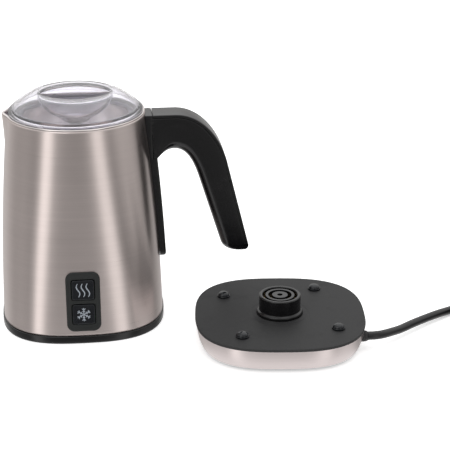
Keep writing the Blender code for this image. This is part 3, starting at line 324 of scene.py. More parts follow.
# ---- shader maths ----------------------------------------------------------------------------
class Value:
    """A shader socket in an expression: each operator adds its Math node."""

    def __init__(self, look, socket):
        self.look, self.socket = look, socket

    def maths(self, operation, *values):
        return self.look.node("Math", {"operation": operation}, dict(enumerate(values)))

    def __add__(self, other):
        return self.maths("ADD", self, other)

    def __sub__(self, other):
        return self.maths("SUBTRACT", self, other)

    def __rsub__(self, other):
        return self.maths("SUBTRACT", other, self)

    def __mul__(self, other):
        return self.maths("MULTIPLY", self, other)

    def __truediv__(self, other):
        return self.maths("DIVIDE", self, other)

    __radd__, __rmul__ = __add__, __mul__


class Look:
    """The node tree of a material or world; constant sockets of its shader are set first."""

    def __init__(self, made, shader="Principled BSDF", **fixed):
        made.use_nodes = True
        self.made, self.tree = made, made.node_tree
        self.shader = self.tree.nodes[shader]
        for socket, value in fixed.items():
            self.shader.inputs[socket.replace("_", " ")].default_value = value

    def node(self, kind, settings=None, values=None, output=0):
        """Any node: its settings first, then the values or links of its sockets."""
        made = self.tree.nodes.new("ShaderNode" + kind)
        for key, value in (settings or {}).items():
            if key == "stops":
                ramp = made.color_ramp
                while len(ramp.elements) < len(value):
                    ramp.elements.new(0.5)
                for element, (at, colour) in zip(ramp.elements, value):
                    element.position, element.color = at, (*colour, 1)
            else:
                setattr(made, key, value)
        for key, value in (values or {}).items():
            if isinstance(value, Value):
                self.tree.links.new(value.socket, made.inputs[key])
            else:
                made.inputs[key].default_value = value
        return Value(self, made.outputs[output])

    def feed(self, socket, value):
        self.tree.links.new(value.socket, self.shader.inputs[socket])

    def coordinates(self, scale=(1, 1, 1), centre=(0, 0, 0)):
        """Object coordinates in metres, moved to a centre and scaled."""
        here = self.node("TexCoord", output="Object")
        moved = self.node("Mapping", {"vector_type": "POINT"},
                          {"Vector": here, "Location": [-c * s for c, s in zip(centre, scale)],
                           "Scale": scale})
        return moved

    def noise(self, scale, detail=2.0, stretch=(1, 1, 1), rough=0.5):
        """Noise between 0 and 1, its cells 1/scale metres, stretched along the axes."""
        return self.node("TexNoise", {}, {"Vector": self.coordinates(stretch), "Scale": scale,
                                          "Detail": detail, "Roughness": rough}, "Fac")

    def mix(self, share, *ends):
        """A colour between two colours or values, by a share."""
        ends = [end if isinstance(end, Value) else (*end, 1) for end in ends]
        return self.node("Mix", {"data_type": "RGBA"}, {0: share, 6: ends[0], 7: ends[1]}, 2)

    def bump(self, height, depth, strength=1.0):
        """Feed the normal from a height between 0 and 1, for a depth in metres."""
        self.feed("Normal", self.node("Bump", {}, {"Height": height, "Distance": depth,
                                                   "Strength": strength}))


def brushed_steel(name, tint, grain=(26, 26, 2600), roughness=0.3, anisotropic=0.85, scuff=0.05):
    """Steel brushed round its axis: long fine streaks that shift its tone, gloss and relief."""
    look = Look(bpy.data.materials.new(name), Metallic=1.0, Anisotropic=anisotropic,
                Anisotropic_Rotation=0.25)
    fine = look.noise(1.0, 3.0, grain, 0.6)
    broad = look.noise(1.0, 2.0, tuple(g / 6 for g in grain), 0.5)
    cloud = look.noise(28.0, 3.0)
    tone = fine * 0.45 + broad * 0.4 + cloud * 0.15
    dark, light = [tuple(c * k for c in tint) for k in (0.86, 1.12)]
    look.feed("Base Color", look.mix(tone, dark, light))
    look.feed("Roughness", (fine - 0.5) * 0.1 + (cloud - 0.5) * scuff + roughness)
    look.bump(fine + broad * 0.5, 0.000004, 0.6)
    return look.made


def moulded(name, colour, roughness, grain=2600.0, depth=0.00002, scuff=0.12, coat=0.0,
            shine=0.4):
    """Moulded plastic: a fine spark-eroded grain, faint scuffs and slow changes of gloss."""
    look = Look(bpy.data.materials.new(name), Coat_Weight=coat, Specular_IOR_Level=shine)
    skin_grain = look.noise(grain, 2.0, rough=0.6)
    rubbed = look.noise(60.0, 5.0, (1, 1, 2.4), 0.65)
    dust = look.noise(420.0, 3.0)
    worn = smooth(look, rubbed, 0.52, 0.72)
    lighter = tuple(c * 1.3 + 0.002 for c in colour)
    look.feed("Base Color", look.mix(worn * 0.5 + dust * 0.3, colour, lighter))
    look.feed("Roughness", (skin_grain - 0.5) * 0.08 + worn * scuff + (dust - 0.5) * 0.06
              + roughness)
    look.bump(skin_grain, depth, 0.8)
    return look.made


def smooth(look, value, low, high):
    """A value taken from 0 at low to 1 at high, with a smooth step."""
    return look.node("MapRange", {"interpolation_type": "SMOOTHSTEP"},
                     {"Value": value, "From Min": low, "From Max": high})


def clear_plastic():
    """Clear lid plastic with a faint lilac tint, hair-fine scratches and a smear or two."""
    look = Look(bpy.data.materials.new("lid_clear"), IOR=1.38, Transmission_Weight=0.95,
                Specular_IOR_Level=0.6)
    hair = look.noise(1.0, 2.0, (900, 120, 120), 0.7)
    smear = look.noise(45.0, 4.0)
    look.feed("Base Color", look.mix(smear, (0.95, 0.935, 0.985), (0.975, 0.965, 0.995)))
    look.feed("Roughness", smooth(look, smear, 0.5, 0.75) * 0.05 + hair * 0.02 + 0.02)
    look.bump(hair, 0.000004, 0.5)
    return look.made


def silicone():
    """Milky clear silicone."""
    look = Look(bpy.data.materials.new("gasket_silicone"), IOR=1.41, Transmission_Weight=0.6,
                Specular_IOR_Level=0.4)
    cloud = look.noise(200.0, 3.0)
    look.feed("Base Color", look.mix(cloud, (0.66, 0.65, 0.72), (0.76, 0.75, 0.8)))
    look.feed("Roughness", cloud * 0.15 + 0.35)
    look.bump(look.noise(1800.0), 0.00001, 0.5)
    return look.made


def plain_metal(name, colour, roughness, grain=(700, 700, 700)):
    """Bare metal with fine tool marks and tarnish."""
    look = Look(bpy.data.materials.new(name), Metallic=1.0)
    marks = look.noise(1.0, 3.0, grain, 0.6)
    tarnish = look.noise(150.0, 4.0)
    dull = tuple(c * 0.72 for c in colour)
    look.feed("Base Color", look.mix(smooth(look, tarnish, 0.35, 0.7), colour, dull))
    look.feed("Roughness", marks * 0.14 + tarnish * 0.12 + roughness)
    look.bump(marks, 0.00002, 0.6)
    return look.made


def circuit_board():
    """Green board with lighter copper tracks under the mask and a woven edge."""
    look = Look(bpy.data.materials.new("board_green"), Specular_IOR_Level=0.5)
    tracks = look.node("TexBrick", {"offset": 0.5},
                       {"Vector": look.coordinates(), "Scale": 110.0, "Mortar Size": 0.035,
                        "Color1": (0.03, 0.16, 0.06, 1), "Color2": (0.04, 0.19, 0.075, 1),
                        "Mortar": (0.09, 0.32, 0.12, 1)}, "Color")
    weave = look.noise(1500.0)
    look.feed("Base Color", tracks)
    look.feed("Roughness", weave * 0.2 + 0.3)
    look.bump(weave, 0.00002, 0.5)
    return look.made


def printed(name, colour):
    """Printing ink, slightly uneven."""
    look = Look(bpy.data.materials.new(name))
    speckle = look.noise(2500.0, 2.0)
    faded = tuple(c * 0.75 for c in colour)
    look.feed("Base Color", look.mix(speckle, faded, colour))
    look.feed("Roughness", speckle * 0.2 + 0.4)
    return look.made


LOOKS = {
    "shell": brushed_steel("shell_brushed_steel", (0.61, 0.54, 0.52)),
    "skirt": brushed_steel("skirt_brushed_steel", (0.66, 0.59, 0.58)),
    "pot": brushed_steel("pot_polished_steel", (0.82, 0.77, 0.755), (20, 20, 1500), 0.2, 0.5),
    "satin": moulded("satin_black_plastic", (0.003, 0.003, 0.0035), 0.2, 1800.0, 0.000004, 0.08,
                     shine=0.45),
    "matt": moulded("matt_black_plastic", (0.024, 0.024, 0.0245), 0.56, 2000.0, 0.00003,
                    shine=0.2),
    "frame": moulded("panel_black_plastic", (0.012, 0.0135, 0.013), 0.5, 2400.0, 0.00003,
                     shine=0.3),
    "gloss": moulded("gloss_black_plastic", (0.004, 0.005, 0.007), 0.16, 900.0, 0.000004,
                     0.05, 0.1, 0.35),
    "rubber": moulded("black_rubber", (0.016, 0.016, 0.017), 0.62, 1500.0, 0.00004),
    "cord": moulded("cord_black_pvc", (0.006, 0.006, 0.0065), 0.3, 1200.0, 0.00001, shine=0.4),
    "white": moulded("white_plastic", (0.78, 0.78, 0.75), 0.45, 2000.0, 0.00002),
    "ferrite": moulded("ferrite_magnet", (0.05, 0.05, 0.053), 0.5, 1400.0, 0.00004),
    "clear": clear_plastic(),
    "silicone": silicone(),
    "brass": plain_metal("brass_contact", (0.80, 0.58, 0.28), 0.2),
    "zinc": plain_metal("zinc_steel", (0.62, 0.62, 0.6), 0.26),
    "aluminium": plain_metal("cast_aluminium", (0.74, 0.74, 0.75), 0.34, (500, 500, 90)),
    "board": circuit_board(),
    "ink": printed("icon_ink", (0.29, 0.32, 0.36)),
}


# ---- jug: shell, pot and foot ----------------------------------------------------------------
def shell_half(z):
    """Half-width of the shell at a height: the parabola through foot, middle and rim."""
    a, b, c = SHELL_FOOT_Z, SHELL_MID_Z, SHELL_TOP_Z
    return (SHELL_FOOT_HALF * (z - b) * (z - c) / ((a - b) * (a - c))
            + SHELL_MID_HALF * (z - a) * (z - c) / ((b - a) * (b - c))
            + SHELL_TOP_HALF * (z - a) * (z - b) / ((c - a) * (c - b)))


def shell_power(z):
    """Superellipse power of the shell: squarer at the foot, 2 at the round rim."""
    return 2 + (FOOT_POWER - 2) * np.maximum(0.0, 1 - z / RIM_Z) ** SHELL_TURN_POWER


RIDGE, BLEND = 0.035, 0.35
BEAK_POWER, BEAK_REACH, BEAK_FADE = 1.2, 1.2, 0.35


def shell_radius(theta, z):
    """Outside of the shell: a superellipse that turns round towards the rim, with the beak.

    The beak's sides are straight in plan, from a tip with a small round to the rim circle,
    and the tip moves out over the beak's height. Body and beak meet in a soft maximum, which
    fades out at the beak's sides.
    """
    body = superellipse(theta, shell_half(z), shell_power(z))
    rise = np.clip((z - (RIM_Z - SPOUT_DROP)) / SPOUT_DROP, 0, 1)
    root = shell_half(z)
    tip = root + SPOUT_REACH * rise ** BEAK_POWER
    run = np.maximum(tip - root * cos(SPOUT_HALF_ANGLE), 1e-6)
    lean = np.arctan2(run, root * sin(SPOUT_HALF_ANGLE))
    away = np.abs(theta % (2 * pi) - pi)
    away = np.sqrt(away ** 2 + RIDGE ** 2) - RIDGE * 0.5
    line = tip * np.cos(lean) / np.maximum(np.cos(away - lean), 0.2)
    beak = BLEND * np.logaddexp(0, np.clip((line - body) / BLEND, -40, 40))
    near = smooth_step((BEAK_REACH - away / SPOUT_HALF_ANGLE) / BEAK_FADE)
    return body + np.where(rise > 0, beak * near * smooth_step(rise * 4), 0.0)


def outer_shell():
    """Steel shell: the outer surface over height and angle, given its wall by Solidify.

    The cells behind the button panel are left out, so the shell is open there.
    """
    z = np.linspace(FOOT_RING_H + GAP, RIM_Z - LIP - GAP, 120)[:, None]
    theta = angles(360)
    rows = polar(shell_radius(theta, z), z, JUG, theta)
    points, faces = skin(rows)
    loops = np.array(faces)
    centre = points[loops].mean(1)
    inside = panel_distance(centre[:, 0] - JUG[0],
                            (centre[:, 2] - PANEL_Z) / cos(PANEL_TILT)) < -PANEL_OVERLAP
    kept = loops[~(inside & (centre[:, 1] < JUG[1]))].tolist()
    made = piece("jug_shell", (points, kept), "jug", LOOKS["shell"],
                 ["outer_shell"], outward=False)
    wall = made.modifiers.new("wall", "SOLIDIFY")
    wall.thickness, wall.offset, wall.use_even_offset = STEEL * MM, -1, True


def pot_radius(theta, z):
    """Outside of the pot: round, then widening over the neck to sit inside the shell."""
    share = smooth_step((z - NECK_FOOT_Z) / POT_NECK)
    return POT_R + (shell_radius(theta, z) - STEEL - GAP * 1.3 - POT_R) * share


def inner_pot():
    """Drawn pot: floor, corner and neck inside and out, joined by the rolled lip's half round."""
    theta = angles(240)
    bend = np.linspace(0, pi / 2, 10)[:, None]
    corner_r = POT_R - POT_CORNER + POT_CORNER * np.sin(bend)
    corner_z = POT_FLOOR_Z + POT_CORNER * (1 - np.cos(bend))
    flat_r = np.linspace(6, POT_R - POT_CORNER, 6)[:-1, None]
    floor_r = np.vstack([flat_r, corner_r])
    floor_z = np.vstack([np.full_like(flat_r, POT_FLOOR_Z), corner_z])
    neck_z = np.linspace(NECK_FOOT_Z, RIM_Z - LIP, 26)[:, None]
    lip = np.linspace(-pi / 2, pi / 2, 9)[:, None]
    out_r = shell_radius(theta, RIM_Z - LIP)
    in_r = pot_radius(theta, RIM_Z) - STEEL
    half, inside = LIP / 2, lip[4:]
    lip_r = np.vstack([out_r - half + half * np.cos(lip), in_r + half * (1 - np.sin(inside))])
    lip_z = np.vstack([RIM_Z - half + half * np.sin(lip), RIM_Z - half * (1 - np.cos(inside))])
    rows = [polar(floor_r, floor_z, JUG, theta),
            polar(pot_radius(theta, neck_z), neck_z, JUG, theta),
            polar(lip_r, lip_z, JUG, theta),
            polar(pot_radius(theta, neck_z[:-1]) - STEEL, neck_z[:-1], JUG, theta)[::-1],
            polar(floor_r - STEEL * floor_r / POT_R, floor_z + STEEL, JUG, theta)[::-1]]
    shell = skin(np.vstack(rows), caps=poles(JUG, POT_FLOOR_Z, POT_FLOOR_Z + STEEL))
    piece("milk_pot", shell, "jug", LOOKS["pot"], ["inner_pot"])


def foot_ring():
    """Black foot band: a rectangle with round edges carried round the superellipse."""
    out, inner = FOOT_RING_HALF, FOOT_RING_HALF - FOOT_RING_BAND
    outline = filleted([(out, 0), (out, FOOT_RING_H), (inner, FOOT_RING_H), (inner, 0)], 0.9)
    theta = angles(300)
    rows = polar(superellipse(theta, outline[:, :1], FOOT_POWER), outline[:, 1:], JUG, theta)
    piece("jug_foot_ring", skin(rows, loop=True), "jug", LOOKS["satin"],
          ["foot_ring"])


# ---- jug: panel and buttons ------------------------------------------------------------------
PANEL_W, PANEL_H, PANEL_CORNER, PANEL_FOOT_Z, PANEL_PROUD = 24.0, 44.4, 5.5, 9.5, 1.0
BUTTON_W, BUTTON_H, BUTTON_CORNER, BUTTON_PITCH = 15.8, 14.7, 1.8, 18.3
BUTTON_PLAY, BUTTON_PROUD = 0.35, 0.4
PANEL_Z = PANEL_FOOT_Z + PANEL_H / 2
PANEL_TILT = atan2(shell_half(PANEL_FOOT_Z) - shell_half(PANEL_FOOT_Z + PANEL_H), PANEL_H)
PANEL_BACK, PANEL_OVERLAP, EDGE_ROUND = -2.6, 1.6, 0.9
WINDOW_ROUND, PANEL_DISH, BUTTON_ROUND, BUTTON_DISH = 0.5, 0.25, 0.8, 0.35
BUTTON_TOP = PANEL_PROUD + BUTTON_PROUD


def box_distance(x, y, width, height, corner):
    """Signed distance to a rectangle with round corners, negative inside."""
    qx, qy = np.abs(x) - width / 2 + corner, np.abs(y) - height / 2 + corner
    outside = np.hypot(np.maximum(qx, 0), np.maximum(qy, 0))
    return outside + np.minimum(np.maximum(qx, qy), 0) - corner


def panel_distance(x, v):
    """Signed distance to the panel's outline."""
    return box_distance(x, v, PANEL_W, PANEL_H, PANEL_CORNER)


def on_panel(x, v, out):
    """Points of the jug from the panel's own axes: across, up its face and out of it."""
    x, v, out = np.broadcast_arrays(x, v, out)
    return np.stack([JUG[0] + x, JUG[1] - shell_half(PANEL_Z) + v * sin(PANEL_TILT)
                     - out * cos(PANEL_TILT), PANEL_Z + v * cos(PANEL_TILT)
                     + out * sin(PANEL_TILT)], -1)


def ray_to_box(theta, half_w, half_h, corner):
    """Distance from the middle of a rectangle with round corners to its outline.

    The ray meets a straight side, or the corner's circle where that point lies past the arcs'
    ends.
    """
    c, s = np.abs(np.cos(theta)), np.abs(np.sin(theta))
    side = np.minimum(half_w / np.maximum(c, 1e-9), half_h / np.maximum(s, 1e-9))
    cx, cy = half_w - corner, half_h - corner
    along = c * cx + s * cy
    arc = along + np.sqrt(np.maximum(along ** 2 - cx ** 2 - cy ** 2 + corner ** 2, 0))
    return np.where((side * c > cx) & (side * s > cy), arc, side)


def rounded_edge(depth, radius):
    """Drop of a face below its plane at a depth inside its edge: a quarter circle."""
    inside = np.clip(radius - depth, 0, radius)
    return radius - np.sqrt(np.maximum(radius ** 2 - inside ** 2, 0))


def button_panel():
    """Panel frame in two cells, one round each window.

    A cell runs from the half panel's outline to its window's, along rays from the window's
    middle. Both edges of its face are rounded by their distances to the two outlines, and the
    walls go down to the back, where the rows join.
    """
    theta = angles(240)
    cells = []
    for side in (1, -1):
        outer_h = PANEL_H / 2 - BUTTON_PITCH / 2
        far = np.sin(theta) * side > 0
        reach = np.where(far, ray_to_box(theta, PANEL_W / 2, outer_h, PANEL_CORNER),
                         ray_to_box(theta, PANEL_W / 2, BUTTON_PITCH / 2, 1e-3))
        window = ray_to_box(theta, BUTTON_W / 2 + BUTTON_PLAY, BUTTON_H / 2 + BUTTON_PLAY,
                            BUTTON_CORNER)
        share = (0.5 - 0.5 * np.cos(np.linspace(0, pi, 17)))[:, None]
        r = reach + (window - reach) * share
        x, v = r * np.cos(theta), r * np.sin(theta) + side * BUTTON_PITCH / 2
        edge = rounded_edge(-panel_distance(x, v), EDGE_ROUND)
        lip = rounded_edge((r - window) * 0.9, WINDOW_ROUND)
        dish = PANEL_DISH * smooth_step(-panel_distance(x, v) / 3 - 0.5)
        face = on_panel(x, v, PANEL_PROUD - edge - lip - dish)
        walls = [on_panel(x[-1:], v[-1:], PANEL_BACK), on_panel(x[:1], v[:1], PANEL_BACK)]
        cells.append(skin(np.vstack([face] + walls), loop=True))
    piece("panel_frame", joined(cells), "jug", LOOKS["frame"],
          ["button_panel"], sharp=50)


def button(label, side):
    """Button: rings from its middle out to its edge, slightly dished, then down its wall."""
    theta = angles(160)
    reach = ray_to_box(theta, BUTTON_W / 2, BUTTON_H / 2, BUTTON_CORNER)
    share = np.sin(np.linspace(0.03, pi / 2, 22))[:, None]
    r = reach * share
    height = BUTTON_TOP - rounded_edge(reach - r, BUTTON_ROUND) - BUTTON_DISH * (1 - share ** 2)
    back = np.full_like(reach, PANEL_BACK)
    r, height = np.vstack([r, reach, reach * 0.05])[::-1], np.vstack([height, back, back])[::-1]
    v0 = side * BUTTON_PITCH / 2
    rows = on_panel(r * np.cos(theta), v0 + r * np.sin(theta), height)
    ends = np.vstack([on_panel(0, v0, PANEL_BACK), on_panel(0, v0, BUTTON_TOP - BUTTON_DISH)])
    piece(f"button_{label}_cap", skin(rows, caps=ends), f"button_{label}", LOOKS["gloss"],
          [f"button_{label}"])


def button_face(x, v, side):
    """Height of a button's dished face."""
    theta = np.arctan2(v - side * BUTTON_PITCH / 2, x)
    share = np.hypot(x, v - side * BUTTON_PITCH / 2) / ray_to_box(
        theta, BUTTON_W / 2, BUTTON_H / 2, BUTTON_CORNER)
    return BUTTON_TOP - BUTTON_DISH * (1 - share ** 2)


INK_T = 0.06
ICON_REACH, WAVE_SWAY, WAVE_PITCH = 5.0, 1.15, 3.4
ARM_W, BRANCH_W, BRANCHES = 0.6, 0.5, ((3.3, 1.7), (1.7, 1.3))


def ink_stroke(x, v, width, side):
    """A stroke of ink along points: four edges carried along them, just proud of the face."""
    x, v, width = np.broadcast_arrays(x, v, width)
    dx, dv = np.gradient(x), np.gradient(v)
    run = np.hypot(dx, dv)
    nx, nv = -dv / run, dx / run
    corners = []
    for across, lift in ((1, -INK_T), (1, INK_T), (-1, INK_T), (-1, -INK_T)):
        px, pv = x + nx * width / 2 * across, v + nv * width / 2 * across
        corners.append(on_panel(px, pv, button_face(px, pv, side) + lift))
    return capped(np.stack(corners, 1))


def heat_icon():
    """Three S-shaped waves side by side, tapered at both ends."""
    t = np.linspace(-1, 1, 33)
    v = BUTTON_PITCH / 2 + ICON_REACH * t
    width = 0.3 + 0.5 * np.sqrt(np.maximum(1 - t ** 2, 0))
    sway = WAVE_SWAY * np.sin(pi * t * 0.95)
    waves = [ink_stroke(at - sway, v, width, 1) for at in (-WAVE_PITCH, 0.0, WAVE_PITCH)]
    piece("heat_icon", joined(waves), "button_hot", LOOKS["ink"])


def cold_icon():
    """Snowflake: six arms from the middle, each with two pairs of short branches."""
    strokes = []
    middle_v = -BUTTON_PITCH / 2
    for turn in np.arange(6) * pi / 3 + pi / 2:
        ahead = np.array([cos(turn), sin(turn)])
        run = np.linspace(0.2, ICON_REACH, 5)
        strokes.append(ink_stroke(run * ahead[0], middle_v + run * ahead[1], ARM_W, -1))
        for start, length in BRANCHES:
            for bend in (-1, 1):
                way = np.array([cos(turn + bend * pi / 4), sin(turn + bend * pi / 4)])
                run = np.linspace(0, length, 4)
                strokes.append(ink_stroke(start * ahead[0] + run * way[0],
                                          middle_v + start * ahead[1] + run * way[1],
                                          BRANCH_W, -1))
    piece("cold_icon", joined(strokes), "button_cold", LOOKS["ink"])


# ---- handle ----------------------------------------------------------------------------------
HANDLE_WIDTH, HANDLE_TOP_Z, HANDLE_SEAM_X = 20.6, 151.1, 53.6
HANDLE_KNEE_X = 70.0
HANDLE_ELBOW, HANDLE_END = np.array([106.6, 114.5]), np.array([121.9, 51.6])
CAVE_TOP_Z, CAVE_ELBOW, CAVE_END = 124.5, np.array([86.8, 101.6]), np.array([102.3, 51.5])
HANDLE_TIP_Z, CAP_T, FILLET_H = 45.0, 2.0, 5.5
STRIP_FOOT_Z, STRIP_EDGE = 43.8, 4.5
TIP_ROWS = 13
SEAM_CLOSED, SEAM_FADE_Z, SEAM_FADE_H = 0.04, 122.0, 18.0
BLOCK_ROUND, BELLY_GAIN, STRIP_ROUND, BLOCK_EDGE = 1.1, 6.4, 3.2, 0.7


def bezier(p0, p1, p2, p3, count):
    """Points along a cubic Bezier curve."""
    t = np.linspace(0, 1, count)[:, None]
    return (1 - t) ** 3 * p0 + 3 * (1 - t) ** 2 * t * p1 + 3 * (1 - t) * t ** 2 * p2 + t ** 3 * p3


def unit(v):
    return v / np.linalg.norm(v)


def grip_lines():
    """Outer and inner points along the grip, in the upright plane through the jug's axis.

    Both run level from the seam, turn down along a Bezier curve and go straight to the tip,
    where they close in on each other along a quarter of a superellipse.
    """
    seam = HANDLE_SEAM_X + GAP
    knee = np.array([HANDLE_KNEE_X, HANDLE_TOP_Z])
    cave_knee = np.array([HANDLE_KNEE_X - 1, CAVE_TOP_Z])
    t = np.linspace(0, 1, 30)[:, None]
    out_level = np.array([seam, HANDLE_TOP_Z]) * (1 - t) + knee * t
    in_x = seam + (cave_knee[0] - seam) * t
    web = shell_half(CAVE_TOP_Z - FILLET_H) + STRIP_EDGE
    rise = np.clip((in_x - web) / (cave_knee[0] - web), 0, 1)
    in_level = np.hstack([in_x, CAVE_TOP_Z - FILLET_H * (1 - np.sin(rise * pi / 2)) ** 1.5])
    lean, cave_lean = unit(HANDLE_ELBOW - HANDLE_END), unit(CAVE_ELBOW - CAVE_END)
    out_bend = bezier(knee, knee + [18, 0], HANDLE_ELBOW + 20 * lean, HANDLE_ELBOW, 40)
    in_bend = bezier(cave_knee, cave_knee + [9, 0], CAVE_ELBOW + 13 * cave_lean, CAVE_ELBOW, 40)
    s = np.linspace(0, 1, 24)[1:, None]
    out_run = HANDLE_ELBOW + (HANDLE_END - HANDLE_ELBOW) * s
    in_run = CAVE_ELBOW + (CAVE_END - CAVE_ELBOW) * s
    a = np.linspace(0, pi / 2 * 0.93, TIP_ROWS + 1)[1:, None]
    tip = np.array([HANDLE_END[0] * 0.58 + CAVE_END[0] * 0.42 + 0.6, HANDLE_TIP_Z])
    end_mid = (HANDLE_END + CAVE_END) / 2
    close = np.cos(a) ** 0.62
    mid = end_mid + (tip - end_mid) * np.sin(a)
    out_end, in_end = mid + (HANDLE_END - end_mid) * close, mid + (CAVE_END - end_mid) * close
    out = np.vstack([out_level, out_bend[1:], out_run, out_end])
    inner = np.vstack([in_level, in_bend[1:], in_run, in_end])
    width = np.concatenate([np.ones(len(out) - len(a)), close[:, 0] ** 0.4]) * HANDLE_WIDTH
    return out, inner, width


def handle_rows(out, inner, width, out_round, in_round):
    """Rings across the handle, each a rectangle whose corners are quarter circles.

    The two corners on the outer side have one radius and the two on the inner side another.
    """
    depth = np.linalg.norm(inner - out, axis=1)[:, None]
    way = (inner - out) / depth
    half = width[:, None] / 2
    a = np.linspace(0, pi / 2, 9)[None, :]
    r_out = np.minimum(out_round, np.minimum(depth, half) * 0.45)
    r_in = np.minimum(in_round, np.minimum(depth, half) * 0.95)
    d = np.hstack([r_out * (1 - np.cos(a)), depth - r_in + r_in * np.sin(a)])
    y = np.hstack([half - r_out + r_out * np.sin(a), half - r_in + r_in * np.cos(a)])
    d, y = np.hstack([d, d[:, ::-1]]), np.hstack([y, -y[:, ::-1]])
    return np.stack([JUG[0] + out[:, :1] + way[:, :1] * d, JUG[1] + y,
                     out[:, 1:] + way[:, 1:] * d], -1)


def handle():
    """Grip, cap and bracket: the cap lies in a step of the grip that ends short of the tip.

    The seam between them closes as the handle turns down.
    """
    out, inner, width = grip_lines()
    last = len(out) - TIP_ROWS
    way = (inner - out) / np.linalg.norm(inner - out, axis=1)[:, None]
    seam = SEAM_CLOSED + (GAP - SEAM_CLOSED) * smooth_step((out[:, 1:] - SEAM_FADE_Z) / SEAM_FADE_H)
    step = np.where(np.arange(len(out))[:, None] < last, CAP_T + seam, 0.0)
    again = np.insert(np.arange(len(out)), last, last)
    step = np.insert(step, last, CAP_T + SEAM_CLOSED, 0)
    belly = BLOCK_ROUND + BELLY_GAIN * smooth_step((out[:, :1] - HANDLE_SEAM_X - 2) / 14)
    grip = handle_rows(out[again] + way[again] * step, inner[again], width[again], BLOCK_EDGE,
                       belly[again])
    cap = handle_rows(out[:last], (out + way * CAP_T)[:last], width[:last], 0.9, 0.4)
    for name, rows, node in (("grip_shell", grip, "handle_grip"), ("grip_cap", cap, "handle_cap")):
        piece(name, capped(rows), "jug", LOOKS["satin"], [node], sharp=50)
    bracket()


def bracket():
    """Handle bracket: level rings from a strip low on the shell up to the block at the top.

    A ring's inner side follows the shell, its outer side is flat with round corners, and both
    its width and its reach close in over the strip's rounded foot.
    """
    root_z = CAVE_TOP_Z - FILLET_H
    foot = np.linspace(0, pi / 2, 9)
    z = np.concatenate([STRIP_FOOT_Z + STRIP_ROUND * (1 - np.cos(foot)),
                        np.linspace(50, root_z, 40), [root_z],
                        np.linspace(root_z + 1, HANDLE_TOP_Z - BLOCK_EDGE, 20),
                        HANDLE_TOP_Z - BLOCK_EDGE * (1 - np.sin(foot[1:]))])[:, None]
    lower = np.concatenate([STRIP_ROUND * (1 - np.sin(foot)), np.zeros(len(z) - len(foot))])
    lower = lower[:, None]
    upper = np.concatenate([np.zeros(len(z) - 8), BLOCK_EDGE * (1 - np.cos(foot[1:]))])[:, None]
    is_block = (np.arange(len(z)) > len(foot) + 39)[:, None]
    edge = np.where(is_block, HANDLE_SEAM_X, shell_half(z) + STRIP_EDGE) - lower * 0.6 - upper
    half = HANDLE_WIDTH / 2 - lower - upper
    corner = np.linspace(0, pi / 2, 7)[None, :]
    r = BLOCK_ROUND
    turn_x, turn_y = edge - r + r * np.sin(corner), half - r + r * np.cos(corner)
    back_y = half * (1 - 2 * np.linspace(0, 1, 13)[None, :])
    back_theta = np.arcsin(back_y / (shell_half(z) + 1))
    back_x = (shell_radius(back_theta, np.minimum(z, RIM_Z - LIP)) + GAP * 0.5) * np.cos(back_theta)
    x = np.hstack([turn_x, turn_x[:, ::-1], back_x])
    y = np.hstack([-turn_y, turn_y[:, ::-1], back_y])
    rows = np.stack([JUG[0] + x, JUG[1] + y, np.broadcast_to(z, x.shape)], -1)
    piece("handle_strip", capped(rows), "jug", LOOKS["satin"],
          ["handle_bracket"], sharp=50)


# ---- lid -------------------------------------------------------------------------------------
LID_R, LID_RISE, LID_SKIRT_DROP, LID_WALL = 47.3, 13.8, 7.7, 2.0
CREST_R = 26.5
EYE_HALF_W, EYE_HALF_D, EYE_Z, EYE_DEPTH = 24.6, 16.5, 12.8, 17.2
BAR_T, BAR_Z = 3.2, 12.4
EYE_POWER, BOWL_POWER, DOME_POWER, DOME_DROP = 1.6, 2.2, 1.55, 0.9
SKIRT_R = POT_R - STEEL - 0.6
LID_SKIRT_T = 1.8
GASKET_H = 2.4


def eye_radius(theta):
    """Outline of the finger bowl: two arcs that meet near the bar's ends, by a low power."""
    c, s = np.abs(np.cos(theta)) / EYE_HALF_W, np.abs(np.sin(theta)) / EYE_HALF_D
    return 1 / (c ** EYE_POWER + s ** EYE_POWER) ** (1 / EYE_POWER)


def bowl_height(share):
    """Height of the bowl's surface above the rim plane: a half ellipse below its edge."""
    return EYE_Z - EYE_DEPTH * np.sqrt(np.maximum(1 - share ** BOWL_POWER, 0))


def lid_rows(inset):
    """The lid's surface from the skirt's edge up over the dome and down into the bowl.

    The inset moves it inwards for the wall's other side. The rings turn from round to
    eye-shaped between the crest and the bowl's edge.
    """
    theta = angles(192)
    flat = np.ones_like(theta)
    r = np.linspace(LID_R, CREST_R, 26)[:, None]
    t = (r - CREST_R) / (LID_R - CREST_R)
    dome = LID_RISE * (1 - DOME_DROP * t ** DOME_POWER)
    grade = np.gradient(dome[:, 0], r[:, 0])[:, None]
    lean = np.hypot(grade, 1)
    dome_r, dome_z = r + inset * grade / lean, dome - inset / lean
    q = np.linspace(0, 1, 12)[1:, None]
    edge = (1 - q) * CREST_R + q * eye_radius(theta)
    edge_z = LID_RISE - (LID_RISE - EYE_Z) * q ** 2
    k = np.cos(np.linspace(0, pi / 2, 30))[1:-1, None]
    bowl_r = eye_radius(theta) * k
    bowl_z = bowl_height(k)
    rows_r = np.vstack([dome_r * flat, edge + inset * 0.9 * q ** 3, bowl_r + inset * 0.9 * k])
    rows_z = np.vstack([dome_z * flat, (edge_z - inset * (1 - 0.65 * q ** 3)) * flat,
                        (bowl_z - inset * (1 - 0.65 * k ** 6)) * flat])
    return rows_r, rows_z + RIM_Z, theta


